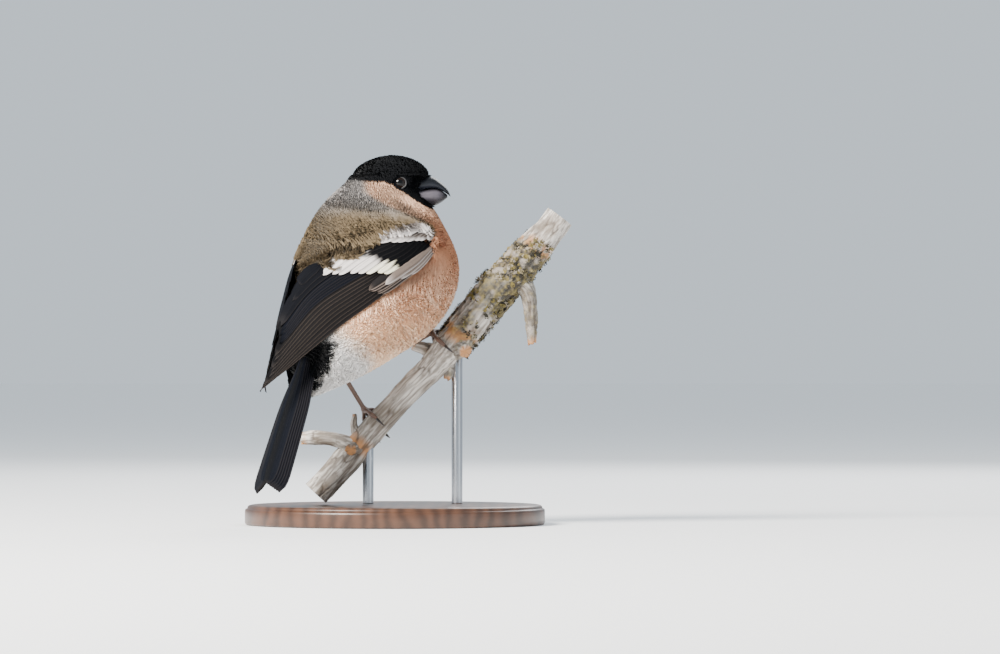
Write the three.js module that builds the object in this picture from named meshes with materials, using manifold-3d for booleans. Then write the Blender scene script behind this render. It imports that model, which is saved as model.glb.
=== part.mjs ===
// A female bullfinch at life size, perched on a cut length of dead branch
// that a flat base and two short rods hold up. Millimetres, +Z up, origin in
// the middle of the underside of the base, +X the way the bird's head faces.
import * as THREE from 'three';
import { mergeVertices } from 'three/addons/utils/BufferGeometryUtils.js';
import Module from 'manifold-3d';

const wasm = await Module();
wasm.setup();

// Driving dimensions
const gap = 0.3;                       // clearance between neighbouring pieces
const bodyCentre = new THREE.Vector3(-6, -4, 100);
const bodyHeading = THREE.MathUtils.degToRad(35);   // the chest points this far away from +X
const headTurn = THREE.MathUtils.degToRad(-35);     // the head turns back to +X
const neckTwistFrom = 16;              // heights over the body centre between which
const neckTwistTo = 31;                // the neck takes up the turn of the head
const eyeRadius = 3.0;
const eyePlace = { forward: 8.2, side: 7.7, up: 36.2 };
const tailLength = 63.6;
const tailLean = THREE.MathUtils.degToRad(21.6);    // off the vertical, backwards
const tailSwing = THREE.MathUtils.degToRad(3);      // the tail is swung to the right
const perchSetBack = 5;                // the branch runs this far beyond the body centre
const toeRadius = 0.85;
const tarsusRadius = 0.95;
const clawLength = 4.6;
const baseRadius = 60;
const baseThickness = 8;
const rodRadius = 2.2;

// Materials, one for each kind of surface
function finish(color, roughness, metalness = 0) {
  return new THREE.MeshStandardMaterial({ color, roughness, metalness });
}

const capBlack = finish(0x11131a, 0.55);
const napeGrey = finish(0x9a8f86, 0.9);
const mantleBrown = finish(0x9c8570, 0.9);
const bellyPeach = finish(0xdcbfa6, 0.9);
const rumpWhite = finish(0xdedbd8, 0.9);
const wingBlack = finish(0x17171a, 0.5);
const billSlate = finish(0x3a3a44, 0.35);
const billPale = finish(0x6e6c78, 0.35);
const eyeDark = finish(0x120c0a, 0.08);
const legBrown = finish(0x5a4137, 0.6);
const clawDark = finish(0x2a2220, 0.4);
const barkGrey = finish(0x968c82, 0.95);
const standWood = finish(0x3b2a20, 0.45);
const standSteel = finish(0x8c8c8c, 0.3, 1);

// Solids: a closed geometry becomes a solid, and a solid a mesh
function solid(geometry) {
  const bare = new THREE.BufferGeometry();
  bare.setAttribute('position', geometry.getAttribute('position'));
  bare.setIndex(geometry.index);
  const merged = mergeVertices(bare, 1e-4);
  const made = new wasm.Manifold(new wasm.Mesh({
    numProp: 3,
    vertProperties: new Float32Array(merged.attributes.position.array),
    triVerts: new Uint32Array(merged.index.array),
  }));
  return made.volume() < 0 ? solid(flipped(merged)) : made;
}

function flipped(geometry) {
  const index = Array.from(geometry.index.array);
  for (let i = 0; i < index.length; i += 3) {
    [index[i], index[i + 1]] = [index[i + 1], index[i]];
  }
  geometry.setIndex(index);
  return geometry;
}

// A skin over closed sections of equal count, each end closed by a fan
function loft(sections) {
  const sides = sections[0].length;
  const positions = sections.flat().flatMap((point) => point.toArray());
  const index = [];
  for (let i = 0; i < sections.length - 1; i += 1) {
    for (let k = 0; k < sides; k += 1) {
      const here = i * sides + k;
      const beside = i * sides + ((k + 1) % sides);
      index.push(here, beside, here + sides, beside, beside + sides, here + sides);
    }
  }
  for (const [row, turn] of [[0, 1], [sections.length - 1, -1]]) {
    const centre = sections[row].reduce((sum, point) => sum.add(point), new THREE.Vector3());
    const middle = positions.length / 3;
    positions.push(...centre.divideScalar(sides).toArray());
    for (let k = 0; k < sides; k += 1) {
      const here = row * sides + k;
      const beside = row * sides + ((k + 1) % sides);
      index.push(middle, ...(turn > 0 ? [beside, here] : [here, beside]));
    }
  }
  const geometry = new THREE.BufferGeometry();
  geometry.setAttribute('position', new THREE.Float32BufferAttribute(positions, 3));
  geometry.setIndex(index);
  return solid(geometry);
}

function joined(solids) {
  return solids.reduce((sum, next) => sum.add(next));
}

function largest(whole) {
  const pieces = whole.decompose();
  return pieces.reduce((best, piece) => (piece.volume() > best.volume() ? piece : best));
}

const bird = new THREE.Group();
const sides = { left: -1, right: 1 };

function addNode(name, whole, material) {
  const mesh = largest(whole).getMesh();
  const geometry = new THREE.BufferGeometry();
  geometry.setAttribute('position', new THREE.BufferAttribute(mesh.vertProperties, 3));
  geometry.setIndex(new THREE.BufferAttribute(mesh.triVerts, 1));
  geometry.computeVertexNormals();
  const node = new THREE.Mesh(geometry, material);
  node.name = name;
  bird.add(node);
}

// A point of the bird: forward, to its right and up from the body centre,
// turned with the body's heading, and above the shoulders with the neck.
function place(forward, right, up) {
  const turned = THREE.MathUtils.smoothstep(up, neckTwistFrom, neckTwistTo);
  const yaw = bodyHeading + headTurn * turned;
  return new THREE.Vector3(
    bodyCentre.x + forward * Math.cos(yaw) + right * Math.sin(yaw),
    bodyCentre.y + forward * Math.sin(yaw) - right * Math.cos(yaw),
    bodyCentre.z + up,
  );
}

function smoothRow(points) {
  return new THREE.CatmullRomCurve3(points.map((p) => new THREE.Vector3(...p)));
}

function tube(centres, radii, sides) {
  const path = new THREE.CatmullRomCurve3(centres);
  const steps = radii.length - 1;
  const frames = path.computeFrenetFrames(steps, false);
  const sections = radii.map((radius, i) => {
    const centre = path.getPointAt(i / steps);
    return Array.from({ length: sides }, (unused, k) => {
      const angle = (k / sides) * Math.PI * 2;
      return centre.clone()
        .addScaledVector(frames.normals[i], radius * Math.cos(angle))
        .addScaledVector(frames.binormals[i], radius * Math.sin(angle));
    });
  });
  return loft(sections);
}

function ball(centre, radius, detail = 12) {
  const sphere = new THREE.SphereGeometry(radius, detail, detail / 2);
  return solid(sphere.translate(centre.x, centre.y, centre.z));
}

// The body: cross sections from the crown down to the vent. Each has its
// back point and its breast point (forward, up) and its half width.
const bodyStations = [
  { back: [3.4, 47.2], front: [7.6, 47.2], half: 2.0 },
  { back: [-0.8, 46.3], front: [12.0, 46.3], half: 5.4 },
  { back: [-5.4, 44.4], front: [16.0, 44.4], half: 8.0 },
  { back: [-8.8, 42.2], front: [19.0, 42.2], half: 9.5 },
  { back: [-11.2, 39.8], front: [20.4, 39.8], half: 10.4 },
  { back: [-12.4, 37.6], front: [18.8, 37.4], half: 10.9 },
  { back: [-14.0, 35.2], front: [16.4, 35.0], half: 11.4 },
  { back: [-16.6, 33.0], front: [15.9, 32.4], half: 12.2 },
  { back: [-19.2, 30.6], front: [17.0, 29.8], half: 13.6 },
  { back: [-21.2, 28.4], front: [20.4, 27.4], half: 15.3 },
  { back: [-23.6, 25.8], front: [22.8, 25.2], half: 17.4 },
  { back: [-26.0, 22.6], front: [24.4, 22.6], half: 20.2 },
  { back: [-28.4, 18.4], front: [26.6, 18.4], half: 23.4 },
  { back: [-31.0, 12.4], front: [29.6, 12.4], half: 26.5 },
  { back: [-33.2, 5.0], front: [31.9, 5.0], half: 28.4 },
  { back: [-35.0, -3.0], front: [31.9, -3.4], half: 29.0 },
  { back: [-37.0, -10.0], front: [28.2, -12.0], half: 28.7 },
  { back: [-38.6, -16.0], front: [21.6, -20.0], half: 27.2 },
  { back: [-40.0, -21.5], front: [13.2, -26.4], half: 24.4 },
  { back: [-41.2, -26.5], front: [4.2, -31.6], half: 20.8 },
  { back: [-42.3, -31.5], front: [-4.6, -36.6], half: 16.8 },
  { back: [-43.4, -36.5], front: [-14.2, -41.2], half: 13.0 },
  { back: [-44.4, -41.0], front: [-23.4, -44.6], half: 9.8 },
  { back: [-45.4, -45.0], front: [-32.0, -47.4], half: 7.0 },
  { back: [-44.6, -48.4], front: [-38.6, -49.6], half: 3.0 },
];
const bodySides = 28;
const bodyRows = 36;
const roundness = 2.15;                // 2 is an ellipse, more is fuller at the shoulders

function bodySolid() {
  const backRow = smoothRow(bodyStations.map((s) => [s.back[0], 0, s.back[1]]));
  const frontRow = smoothRow(bodyStations.map((s) => [s.front[0], s.half, s.front[1]]));
  const sections = [];
  for (let i = 0; i <= bodyRows; i += 1) {
    const back = backRow.getPoint(i / bodyRows);
    const front = frontRow.getPoint(i / bodyRows);
    const section = [];
    for (let k = 0; k < bodySides; k += 1) {
      const angle = (k / bodySides) * Math.PI * 2;
      const along = Math.sign(Math.cos(angle)) * Math.abs(Math.cos(angle)) ** (2 / roundness);
      const side = Math.sign(Math.sin(angle)) * Math.abs(Math.sin(angle)) ** (2 / roundness);
      const forward = (back.x + front.x) / 2 + ((front.x - back.x) / 2) * along;
      const up = (back.z + front.z) / 2 + ((front.z - back.z) / 2) * along;
      section.push(place(forward, front.y * side, up));
    }
    sections.push(section);
  }
  return loft(sections);
}

// A slab that parts the bird along a line (forward, up), and the room below
// it. The heading says which way its line runs.
function slab(from, to, heading, thickness = gap, drop = 0) {
  const along = new THREE.Vector2(to[0] - from[0], to[1] - from[1]).normalize();
  const across = new THREE.Vector2(-along.y, along.x);
  const corner = (point, side, over) => {
    const forward = point[0] + across.x * over;
    return new THREE.Vector3(
      bodyCentre.x + forward * Math.cos(heading) + side * Math.sin(heading),
      bodyCentre.y + forward * Math.sin(heading) - side * Math.cos(heading),
      bodyCentre.z + point[1] + across.y * over,
    );
  };
  const low = -drop - thickness / 2;
  const high = -drop + thickness / 2;
  const halfWidth = 60;
  return loft([-halfWidth, halfWidth].map((side) => [
    corner(from, side, low), corner(to, side, low), corner(to, side, high), corner(from, side, high),
  ]));
}

function below(from, to, heading, depth = 120) {
  return slab(from, to, heading, depth, depth / 2);
}

// The bill: two mandibles that meet along the line of the mouth. Each section
// is set by its distance forward, its upper and lower edge and its half width.
const upperBill = [
  { forward: 13.0, top: 38.4, bottom: 33.4, half: 4.3 },
  { forward: 17.0, top: 39.2, bottom: 33.6, half: 4.7 },
  { forward: 20.0, top: 39.2, bottom: 34.0, half: 4.6 },
  { forward: 22.4, top: 38.2, bottom: 34.1, half: 4.1 },
  { forward: 24.6, top: 36.5, bottom: 33.4, half: 3.3 },
  { forward: 26.4, top: 34.8, bottom: 32.4, half: 2.3 },
  { forward: 27.6, top: 32.9, bottom: 31.5, half: 1.2 },
  { forward: 28.1, top: 31.5, bottom: 30.9, half: 0.5 },
];
const lowerBill = [
  { forward: 13.0, top: 33.0, bottom: 28.8, half: 4.1 },
  { forward: 17.0, top: 33.2, bottom: 28.0, half: 4.6 },
  { forward: 20.0, top: 33.6, bottom: 27.5, half: 4.6 },
  { forward: 22.4, top: 33.7, bottom: 27.6, half: 4.1 },
  { forward: 24.4, top: 33.0, bottom: 28.6, half: 3.2 },
  { forward: 26.0, top: 32.1, bottom: 29.8, half: 2.0 },
  { forward: 26.9, top: 31.4, bottom: 30.6, half: 0.8 },
];
const billSides = 14;

function mandible(stations, fullEdge, grow = 0) {
  const sections = stations.map((station, i) => {
    const forward = station.forward - (i === 0 ? grow : 0);
    const middle = (station.top + station.bottom) / 2;
    const depth = (station.top - station.bottom) / 2 + grow;
    return Array.from({ length: billSides }, (unused, k) => {
      const angle = (k / billSides) * Math.PI * 2;
      const up = Math.sin(angle);
      const power = up * fullEdge > 0 ? 0.45 : 1;
      const height = Math.sign(up) * Math.abs(up) ** power;
      return place(forward, (station.half + grow) * Math.cos(angle), middle + depth * height);
    });
  });
  return loft(sections);
}

function upperBillSolid() {
  const whole = mandible(upperBill, -1);
  return Object.values(sides).reduce((bill, side) => bill.subtract(nostril(side)), whole);
}

function nostril(side) {
  return ball(place(19.6, side * 3.9, 37.6), 0.7, 10);
}

// Eyes and the ring of the lids round each of them
function eyeCentre(side) {
  return place(eyePlace.forward, side * eyePlace.side, eyePlace.up);
}

function lidRing(side) {
  const outward = place(eyePlace.forward, side * (eyePlace.side + 1), eyePlace.up)
    .sub(eyeCentre(side)).normalize();
  const ring = new THREE.TorusGeometry(2.45, 0.6, 5, 12);
  ring.applyQuaternion(new THREE.Quaternion().setFromUnitVectors(new THREE.Vector3(0, 0, 1), outward));
  const centre = eyeCentre(side).addScaledVector(outward, 1.75);
  return solid(ring.translate(centre.x, centre.y, centre.z));
}

// The folded wing: a curved surface between its leading edge, which lies
// low, and the edge of the tertials over the back (forward, right, up).
const wingRows = {
  leading: [[8, 26, 11], [-1, 28.3, 3], [-11, 27.5, -4], [-21, 23.8, -12], [-31, 17.6, -20.5],
    [-45, 10, -34], [-57, 5, -46.6]],
  middle: [[6.5, 27.2, 14], [-7, 28.2, 8], [-19.5, 24.6, 2.5], [-30, 17.6, -5.5],
    [-39.2, 11.4, -15], [-49, 6.6, -30.5], [-58, 3.8, -47]],
  inner: [[4, 25, 17], [-12, 23.6, 13], [-26, 15, 8], [-36, 8, 1], [-43, 3.6, -10],
    [-50.5, 2.2, -27], [-58.6, 2.6, -47]],
};

const leftTipTuck = 6.5;              // the far wing's tip is held closer to the tail

function wingSurface(side) {
  const rows = Object.values(wingRows).map((row) => smoothRow(row));
  const tuck = side < 0 ? leftTipTuck : 0;
  return (s, t) => {
    const weights = [(1 - t) * (1 - 2 * t), 4 * t * (1 - t), t * (2 * t - 1)];
    const point = new THREE.Vector3();
    rows.forEach((row, i) => point.addScaledVector(row.getPoint(s), weights[i]));
    return place(point.x + tuck * s ** 3, point.y * side, point.z);
  };
}

// Frame on a surface: outward normal and the two ways along it
function surfaceFrame(surface, s, t, side) {
  const step = 0.01;
  const point = surface(s, t);
  const before = surface(Math.max(s - step, 0), t);
  const lengthwise = surface(Math.min(s + step, 1), t).sub(before).normalize();
  const across = surface(s, t + step).sub(surface(s, t - step));
  across.addScaledVector(lengthwise, -across.dot(lengthwise)).normalize();
  const outward = new THREE.Vector3().crossVectors(across, lengthwise).multiplyScalar(side).normalize();
  return { point, lengthwise, across, outward };
}

// A plate between two grids of points that match, its faces split alike
function plateSolid(over, beneath) {
  const positions = [];
  const rows = over.length;
  const columns = over[0].length;
  for (const grid of [over, beneath]) {
    grid.forEach((row) => row.forEach((point) => positions.push(point.x, point.y, point.z)));
  }
  const top = (i, k) => i * columns + k;
  const under = (i, k) => rows * columns + i * columns + k;
  const index = [];
  const quad = (a, b, c, d) => index.push(a, b, c, a, c, d);
  for (let i = 0; i < rows - 1; i += 1) {
    for (let k = 0; k < columns - 1; k += 1) {
      quad(top(i, k), top(i, k + 1), top(i + 1, k + 1), top(i + 1, k));
      index.push(under(i, k), under(i + 1, k + 1), under(i, k + 1));
      index.push(under(i, k), under(i + 1, k), under(i + 1, k + 1));
    }
    quad(top(i, 0), top(i + 1, 0), under(i + 1, 0), under(i, 0));
    quad(top(i, columns - 1), under(i, columns - 1), under(i + 1, columns - 1), top(i + 1, columns - 1));
  }
  for (let k = 0; k < columns - 1; k += 1) {
    quad(top(0, k), under(0, k), under(0, k + 1), top(0, k + 1));
    quad(top(rows - 1, k), top(rows - 1, k + 1), under(rows - 1, k + 1), under(rows - 1, k));
  }
  const geometry = new THREE.BufferGeometry();
  geometry.setAttribute('position', new THREE.Float32BufferAttribute(positions, 3));
  geometry.setIndex(index);
  return solid(geometry);
}

// Outline of a flight feather: share of its full width at points along it
const vaneOutline = [
  { along: 0, width: 0.5 },
  { along: 0.24, width: 0.85 },
  { along: 0.5, width: 1 },
  { along: 0.8, width: 0.96 },
  { along: 0.93, width: 0.68 },
  { along: 1, width: 0.2 },
];
const covertOutline = [
  { along: 0, width: 0.7 },
  { along: 0.5, width: 1 },
  { along: 0.88, width: 0.8 },
  { along: 1, width: 0.3 },
];
const shaftShare = 0.36;               // where the shaft lies between the two edges
const shaftRise = 0.15;                // how far the vane is arched over its shaft
const vaneThickness = 0.6;
const tipThickness = 0.42;

// One feather of the wing. Its exposed edge runs from root to tip (s, t); the
// other edge lies lower, under its neighbour.
function wingVane(surface, side, { outline, root, tip, width, high, low }) {
  const over = [];
  const beneath = [];
  for (const { along, width: share } of outline) {
    const s = THREE.MathUtils.lerp(root[0], tip[0], along);
    const t = THREE.MathUtils.lerp(root[1], tip[1], along);
    const frame = surfaceFrame(surface, s, t, side);
    const from = width * shaftShare * (1 - share);
    const thickness = along > 0.9 ? tipThickness : vaneThickness;
    const row = (face) => [0, 1].map((part) => {
      const lift = THREE.MathUtils.lerp(high, low, part);
      return frame.point.clone()
        .addScaledVector(frame.across, from + width * share * part)
        .addScaledVector(frame.outward, lift + (face * thickness) / 2);
    });
    over.push(row(1));
    beneath.push(row(-1));
  }
  return plateSolid(over, beneath);
}

// A tier of feathers: its roots, tips and widths run evenly from the first
// to the last, and each tip is set back by its own share of the length.
function tier({ outline, count, roots, tips, widths, high, low, setBack = [] }) {
  return Array.from({ length: count }, (unused, i) => {
    const share = count > 1 ? i / (count - 1) : 0;
    const mix = (pair) => THREE.MathUtils.lerp(pair[0], pair[1], share);
    return {
      outline,
      root: [mix([roots[0][0], roots[1][0]]), mix([roots[0][1], roots[1][1]])],
      tip: [mix([tips[0][0], tips[1][0]]) - (setBack[i] ?? 0), mix([tips[0][1], tips[1][1]])],
      width: mix(widths),
      high,
      low,
    };
  });
}

// The tiers of one wing, from the outermost primary inwards
const wingTiers = [
  {                                    // primaries
    outline: vaneOutline, count: 7, roots: [[0.13, 0.0], [0.17, 0.33]], tips: [[1.0, 0.0], [0.87, 0.52]],
    widths: [4.6, 5.4], high: 1.25, low: 0.45, setBack: [0.03, -0.015, -0.02, -0.01, 0, 0, 0],
  },
  {                                    // secondaries
    outline: vaneOutline, count: 4, roots: [[0.17, 0.40], [0.17, 0.62]], tips: [[0.83, 0.56], [0.80, 0.72]],
    widths: [5.6, 6], high: 1.5, low: 0.5,
  },
  {                                    // tertials
    outline: vaneOutline, count: 3, roots: [[0.17, 0.66], [0.18, 0.84]], tips: [[0.79, 0.76], [0.60, 0.90]],
    widths: [6.2, 5.4], high: 1.95, low: 0.75,
  },
  {                                    // primary coverts
    outline: covertOutline, count: 2, roots: [[0.08, 0.02], [0.09, 0.12]], tips: [[0.40, 0.02], [0.45, 0.14]],
    widths: [3.4, 3.4], high: 2.0, low: 1.25,
  },
  {                                    // greater coverts
    outline: covertOutline, count: 5, roots: [[0.08, 0.2], [0.14, 0.80]], tips: [[0.29, 0.14], [0.42, 0.84]],
    widths: [5, 5.6], high: 2.55, low: 1.6,
  },
  {                                    // alula
    outline: covertOutline, count: 1, roots: [[0.05, 0.03], [0.05, 0.12]],
    tips: [[0.27, -0.01], [0.34, 0.05]], widths: [3, 3.2], high: 2.6, low: 1.9,
  },
  {                                    // median coverts
    outline: covertOutline, count: 4, roots: [[0.02, 0.3], [0.10, 0.84]], tips: [[0.12, 0.26], [0.26, 0.84]],
    widths: [4.6, 5], high: 3.1, low: 2.2,
  },
];

// The flesh and small coverts of the arm: a shell that follows the surface
const armRows = [
  { s: 0, from: 0.2, to: 0.8, thick: 1.4 },
  { s: 0.04, from: 0.0, to: 1.0, thick: 2.6 },
  { s: 0.10, from: 0.0, to: 1.0, thick: 2.9 },
  { s: 0.16, from: 0.0, to: 1.0, thick: 2.4 },
  { s: 0.22, from: 0.03, to: 0.97, thick: 1.6 },
];
const armColumns = [0, 0.2, 0.4, 0.6, 0.8, 1];

function armSolid(surface, side) {
  const over = [];
  const beneath = [];
  for (const { s, from, to, thick } of armRows) {
    const frames = armColumns.map((share) => {
      return surfaceFrame(surface, s, THREE.MathUtils.lerp(from, to, share), side);
    });
    over.push(frames.map((frame, k) => {
      const crown = 0.6 + 0.4 * Math.sin(armColumns[k] * Math.PI);
      return frame.point.clone().addScaledVector(frame.outward, thick * crown);
    }));
    beneath.push(frames.map((frame) => frame.point.clone().addScaledVector(frame.outward, 0.1)));
  }
  return plateSolid(over, beneath);
}

function wingSolid(side) {
  const surface = wingSurface(side);
  const vanes = wingTiers.flatMap((rows) => tier(rows)).map((vane) => wingVane(surface, side, vane));
  return joined([armSolid(surface, side), ...vanes]);
}

const bedDepth = { arm: 0.5, vanes: 1.7 };

// The room that a folded wing needs in the plumage of the body
function wingBed(side) {
  const surface = wingSurface(side);
  const lengthwise = [0, 0.06, 0.15, 0.26, 0.38, 0.5, 0.62, 0.74, 0.86, 0.95];
  const across = [-0.06, 0.1, 0.3, 0.5, 0.7, 0.88, 1.02, 1.15];
  const over = [];
  const beneath = [];
  for (const s of lengthwise) {
    const frames = across.map((t) => surfaceFrame(surface, s, t, side));
    const back = s === 0 ? frames[2].lengthwise.clone().multiplyScalar(-2) : new THREE.Vector3();
    const row = (lift) => frames.map((frame) => {
      return frame.point.clone().add(back).addScaledVector(frame.outward, lift);
    });
    const past = THREE.MathUtils.smoothstep(s, 0.06, 0.2);
    over.push(row(12));
    beneath.push(row(-THREE.MathUtils.lerp(bedDepth.arm, bedDepth.vanes, past)));
  }
  return plateSolid(over, beneath);
}

// The tail: twelve feathers from one root, the middle pair on top
const tailRoot = { forward: -33.6, up: -26.6 };
const tailRank = 6;                    // feathers on each side
const tailPitch = 0.16;                // each feather lies this much under the one before
const rectrixWidth = 8.6;
const forkDepth = 2.6;                 // the outer feathers are this much longer

function tailPoint(along, right, over) {
  const reach = along * Math.cos(tailSwing) - right * Math.sin(tailSwing);
  const aside = right * Math.cos(tailSwing) + along * Math.sin(tailSwing);
  const forward = tailRoot.forward - reach * Math.sin(tailLean) - over * Math.cos(tailLean);
  const up = tailRoot.up - reach * Math.cos(tailLean) + over * Math.sin(tailLean);
  return place(forward, aside, up);
}

// One feather of the tail, by its side and its rank out from the middle
function rectrix(side, rank) {
  const layer = -tailPitch * (2 * rank + (side > 0 ? 0 : 1));
  const length = tailLength - forkDepth + (forkDepth * rank) / (tailRank - 1);
  const start = 7.5;
  const over = [];
  const beneath = [];
  for (const { along, width: share } of vaneOutline) {
    const reach = THREE.MathUtils.lerp(start, length, along);
    const middle = side * THREE.MathUtils.lerp(0.6 + rank * 0.5, 1.9 + rank * 1.22, along);
    const thickness = along > 0.9 ? tipThickness : vaneThickness;
    const row = (face) => [-0.5, 0, 0.5].map((part) => {
      const arch = part === 0 ? shaftRise : 0;
      const slope = -0.035 * Math.abs(middle + part * rectrixWidth);
      return tailPoint(
        reach, middle + part * rectrixWidth * share, layer + arch + slope + (face * thickness) / 2,
      );
    });
    over.push(row(1));
    beneath.push(row(-1));
  }
  return plateSolid(over, beneath);
}

function tailSocket() {
  const section = (along, half) => [
    tailPoint(along, -half, -3.0), tailPoint(along, half, -3.0),
    tailPoint(along, half, 1.1), tailPoint(along, -half, 1.1),
  ];
  return loft([section(6, 5.6), section(15, 8.6), section(25, 10.8), section(34, 11.6)]);
}

function tailSolid() {
  const block = (along, half, thick) => [
    tailPoint(along, -half, -0.9 - thick), tailPoint(along, half, -0.9 - thick),
    tailPoint(along, half, -0.9 + thick), tailPoint(along, -half, -0.9 + thick),
  ];
  const feathers = [];
  for (let rank = 0; rank < tailRank; rank += 1) {
    feathers.push(rectrix(1, rank), rectrix(-1, rank));
  }
  return joined([loft([block(6.6, 4.4, 0.9), block(13, 6.2, 1.2), block(17, 6.4, 0.7)]), ...feathers]);
}

// The plane through the tail, which parts the rump behind it from the belly
const tailPlaneOver = -1.0;

function tailPlane(thickness, behind) {
  const reach = 60;
  const end = (along) => [
    tailRoot.forward - along * Math.sin(tailLean) - tailPlaneOver * Math.cos(tailLean),
    tailRoot.up - along * Math.cos(tailLean) + tailPlaneOver * Math.sin(tailLean),
  ];
  return slab(end(reach), end(-reach), bodyHeading, thickness, -behind);
}

// A thin cut on the midline, so that the folded wings stay apart
function wingMidline() {
  const section = (right) => [
    place(-90, right, -70), place(-20, right, -70), place(-20, right, 14), place(-90, right, 14),
  ];
  return loft([section(-gap / 2), section(gap / 2)]);
}

// The branch: its middle line and its radius, seen square on
const pixel = 0.4;                     // millimetres for each step of the layout below
const layoutOrigin = [395, 525];
const perchLine = [
  { at: [316, 494], radius: 5.3 },
  { at: [330, 479], radius: 5.4 },
  { at: [347, 461], radius: 5.6 },
  { at: [362, 442], radius: 5.3 },
  { at: [379, 422], radius: 5.2 },
  { at: [409, 391], radius: 5.0 },
  { at: [434, 366], radius: 5.6 },
  { at: [452, 345], radius: 7.0 },
  { at: [470, 324], radius: 7.8 },
  { at: [492, 295], radius: 7.9 },
  { at: [512, 274], radius: 7.9 },
  { at: [532, 252], radius: 7.0 },
  { at: [548, 233], radius: 6.0 },
  { at: [560, 217], radius: 5.8 },
];
const perchSides = 12;
const perchRows = 22;

function layout(point, depth = 0) {
  return new THREE.Vector3(
    (point[0] - layoutOrigin[0]) * pixel,
    bodyCentre.y + perchSetBack + depth,
    (layoutOrigin[1] - point[1]) * pixel,
  );
}

function perchCurve() {
  return smoothRow(perchLine.map(({ at, radius }) => {
    const p = layout(at);
    return [p.x, radius, p.z];
  }));
}

// Point and radius of the branch at a share of its length
function perchAt(share) {
  const value = perchCurve().getPoint(share);
  const slope = perchCurve().getTangent(share);
  const along = new THREE.Vector3(slope.x, 0, slope.z).normalize();
  return {
    centre: new THREE.Vector3(value.x, bodyCentre.y + perchSetBack, value.z),
    radius: value.y,
    along,
    upper: new THREE.Vector3(-along.z, 0, along.x),
    near: new THREE.Vector3(0, -1, 0),
  };
}

function perchSolid() {
  const sections = [];
  for (let i = 0; i <= perchRows; i += 1) {
    const { centre, radius, upper, near } = perchAt(i / perchRows);
    sections.push(Array.from({ length: perchSides }, (unused, k) => {
      const angle = (k / perchSides) * Math.PI * 2;
      const wave = 1 + 0.05 * Math.sin(3 * angle + i * 0.7) + 0.04 * Math.sin(5 * angle - i * 1.3);
      return centre.clone()
        .addScaledVector(upper, radius * wave * Math.cos(angle))
        .addScaledVector(near, radius * wave * Math.sin(angle));
    }));
  }
  const stub = (points, radii) => tube(points.map(([x, y, depth]) => layout([x, y], depth)), radii, 8);
  return joined([
    loft(sections),
    stub([[352, 446, -1], [335, 440, -1], [318, 438, 0], [302, 439, 1]], [3.4, 2.9, 2.7, 2.9, 2.3]),
    stub([[362, 447, 0], [355, 449, -4], [351, 450, -7.5]], [3.2, 2.8, 2.3]),
    stub([[440, 356, 1], [427, 350, 3], [413, 346, 4]], [4.2, 3.0, 2.0]),
    stub([[514, 280, 0], [527, 292, -2], [531, 318, -2], [532, 344, -1]], [4.2, 3.8, 2.9, 2.5, 1.5]),
    stub([[452, 352, 0], [460, 350, -5], [466, 352, -8.6]], [4.6, 3.6, 2.4]),
    stub([[446, 356, 0], [450, 369, 0], [447, 379, -1]], [3.6, 2.8, 1.5]),
    stub([[358, 438, 0], [353, 424, 0], [357, 415, 0]], [3.0, 1.7, 0.8]),
  ]);
}

// Legs and feet. A foot stands on top of the branch; its three front toes
// go over the far side and the hind toe down the near side.
const legs = {
  left: {
    share: 0.305, hock: [-15.5, -7.0, -36.5], toeDrift: [-5.5, -1.5, 3.5], hindDrift: 0.8,
  },
  right: {
    share: 0.53, hock: [2.5, 7.5, -31.5], toeDrift: [-4.0, 1.0, 5.0], hindDrift: -1.0,
  },
};
const frontToes = [
  { reach: 112, drift: 0 },
  { reach: 140, drift: 1 },
  { reach: 104, drift: 2 },
];
const hindReach = 78;
const toeSides = 6;

// A point over the branch: round it by an angle from the top (near side
// positive), along it by a distance, and clear of its bark by a height
function overPerch(leg, angle, drift, height) {
  const { centre, radius, along, upper, near } = perchAt(leg.share);
  const turn = THREE.MathUtils.degToRad(angle);
  const reach = radius * 1.06 + height;
  return centre.clone()
    .addScaledVector(along, drift)
    .addScaledVector(upper, reach * Math.cos(turn))
    .addScaledVector(near, reach * Math.sin(turn));
}

function toePath(leg, reach, drift) {
  const sweep = [0, 0.3, 0.65, 1];
  return sweep.map((share) => {
    const clear = share === 0 ? 0.5 : 0.05;
    const along = drift * Math.sin((share * Math.PI) / 2);
    return overPerch(leg, reach * share, along, toeRadius + gap + clear);
  });
}

function clawPath(leg, reach, drift, clear = 0) {
  const { radius } = perchAt(leg.share);
  const step = THREE.MathUtils.radToDeg(clawLength / (radius + 2)) * Math.sign(reach);
  const start = THREE.MathUtils.radToDeg((gap + clear) / (radius + 1.2)) * Math.sign(reach);
  return [0, 0.5, 1].map((share) => {
    const bow = 0.9 * Math.sin(share * Math.PI) + 0.25 * share;
    return overPerch(leg, reach + start + step * share, drift, toeRadius + gap + bow);
  });
}

function footSolid(leg, grow = 0) {
  const radii = [1.1, 0.9, 0.72, 0.88, 0.66, 0.8, 0.6].map((r) => r * (toeRadius / 0.85) + grow);
  const toes = frontToes.map(({ reach, drift }) => {
    return tube(toePath(leg, -reach, leg.toeDrift[drift]), radii, toeSides);
  });
  toes.push(tube(toePath(leg, hindReach, leg.hindDrift), radii.slice(0, 5), toeSides));
  toes.push(ball(overPerch(leg, 0, 0, 1.5 + gap), 1.45 + grow, 10));
  return joined(toes);
}

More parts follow.
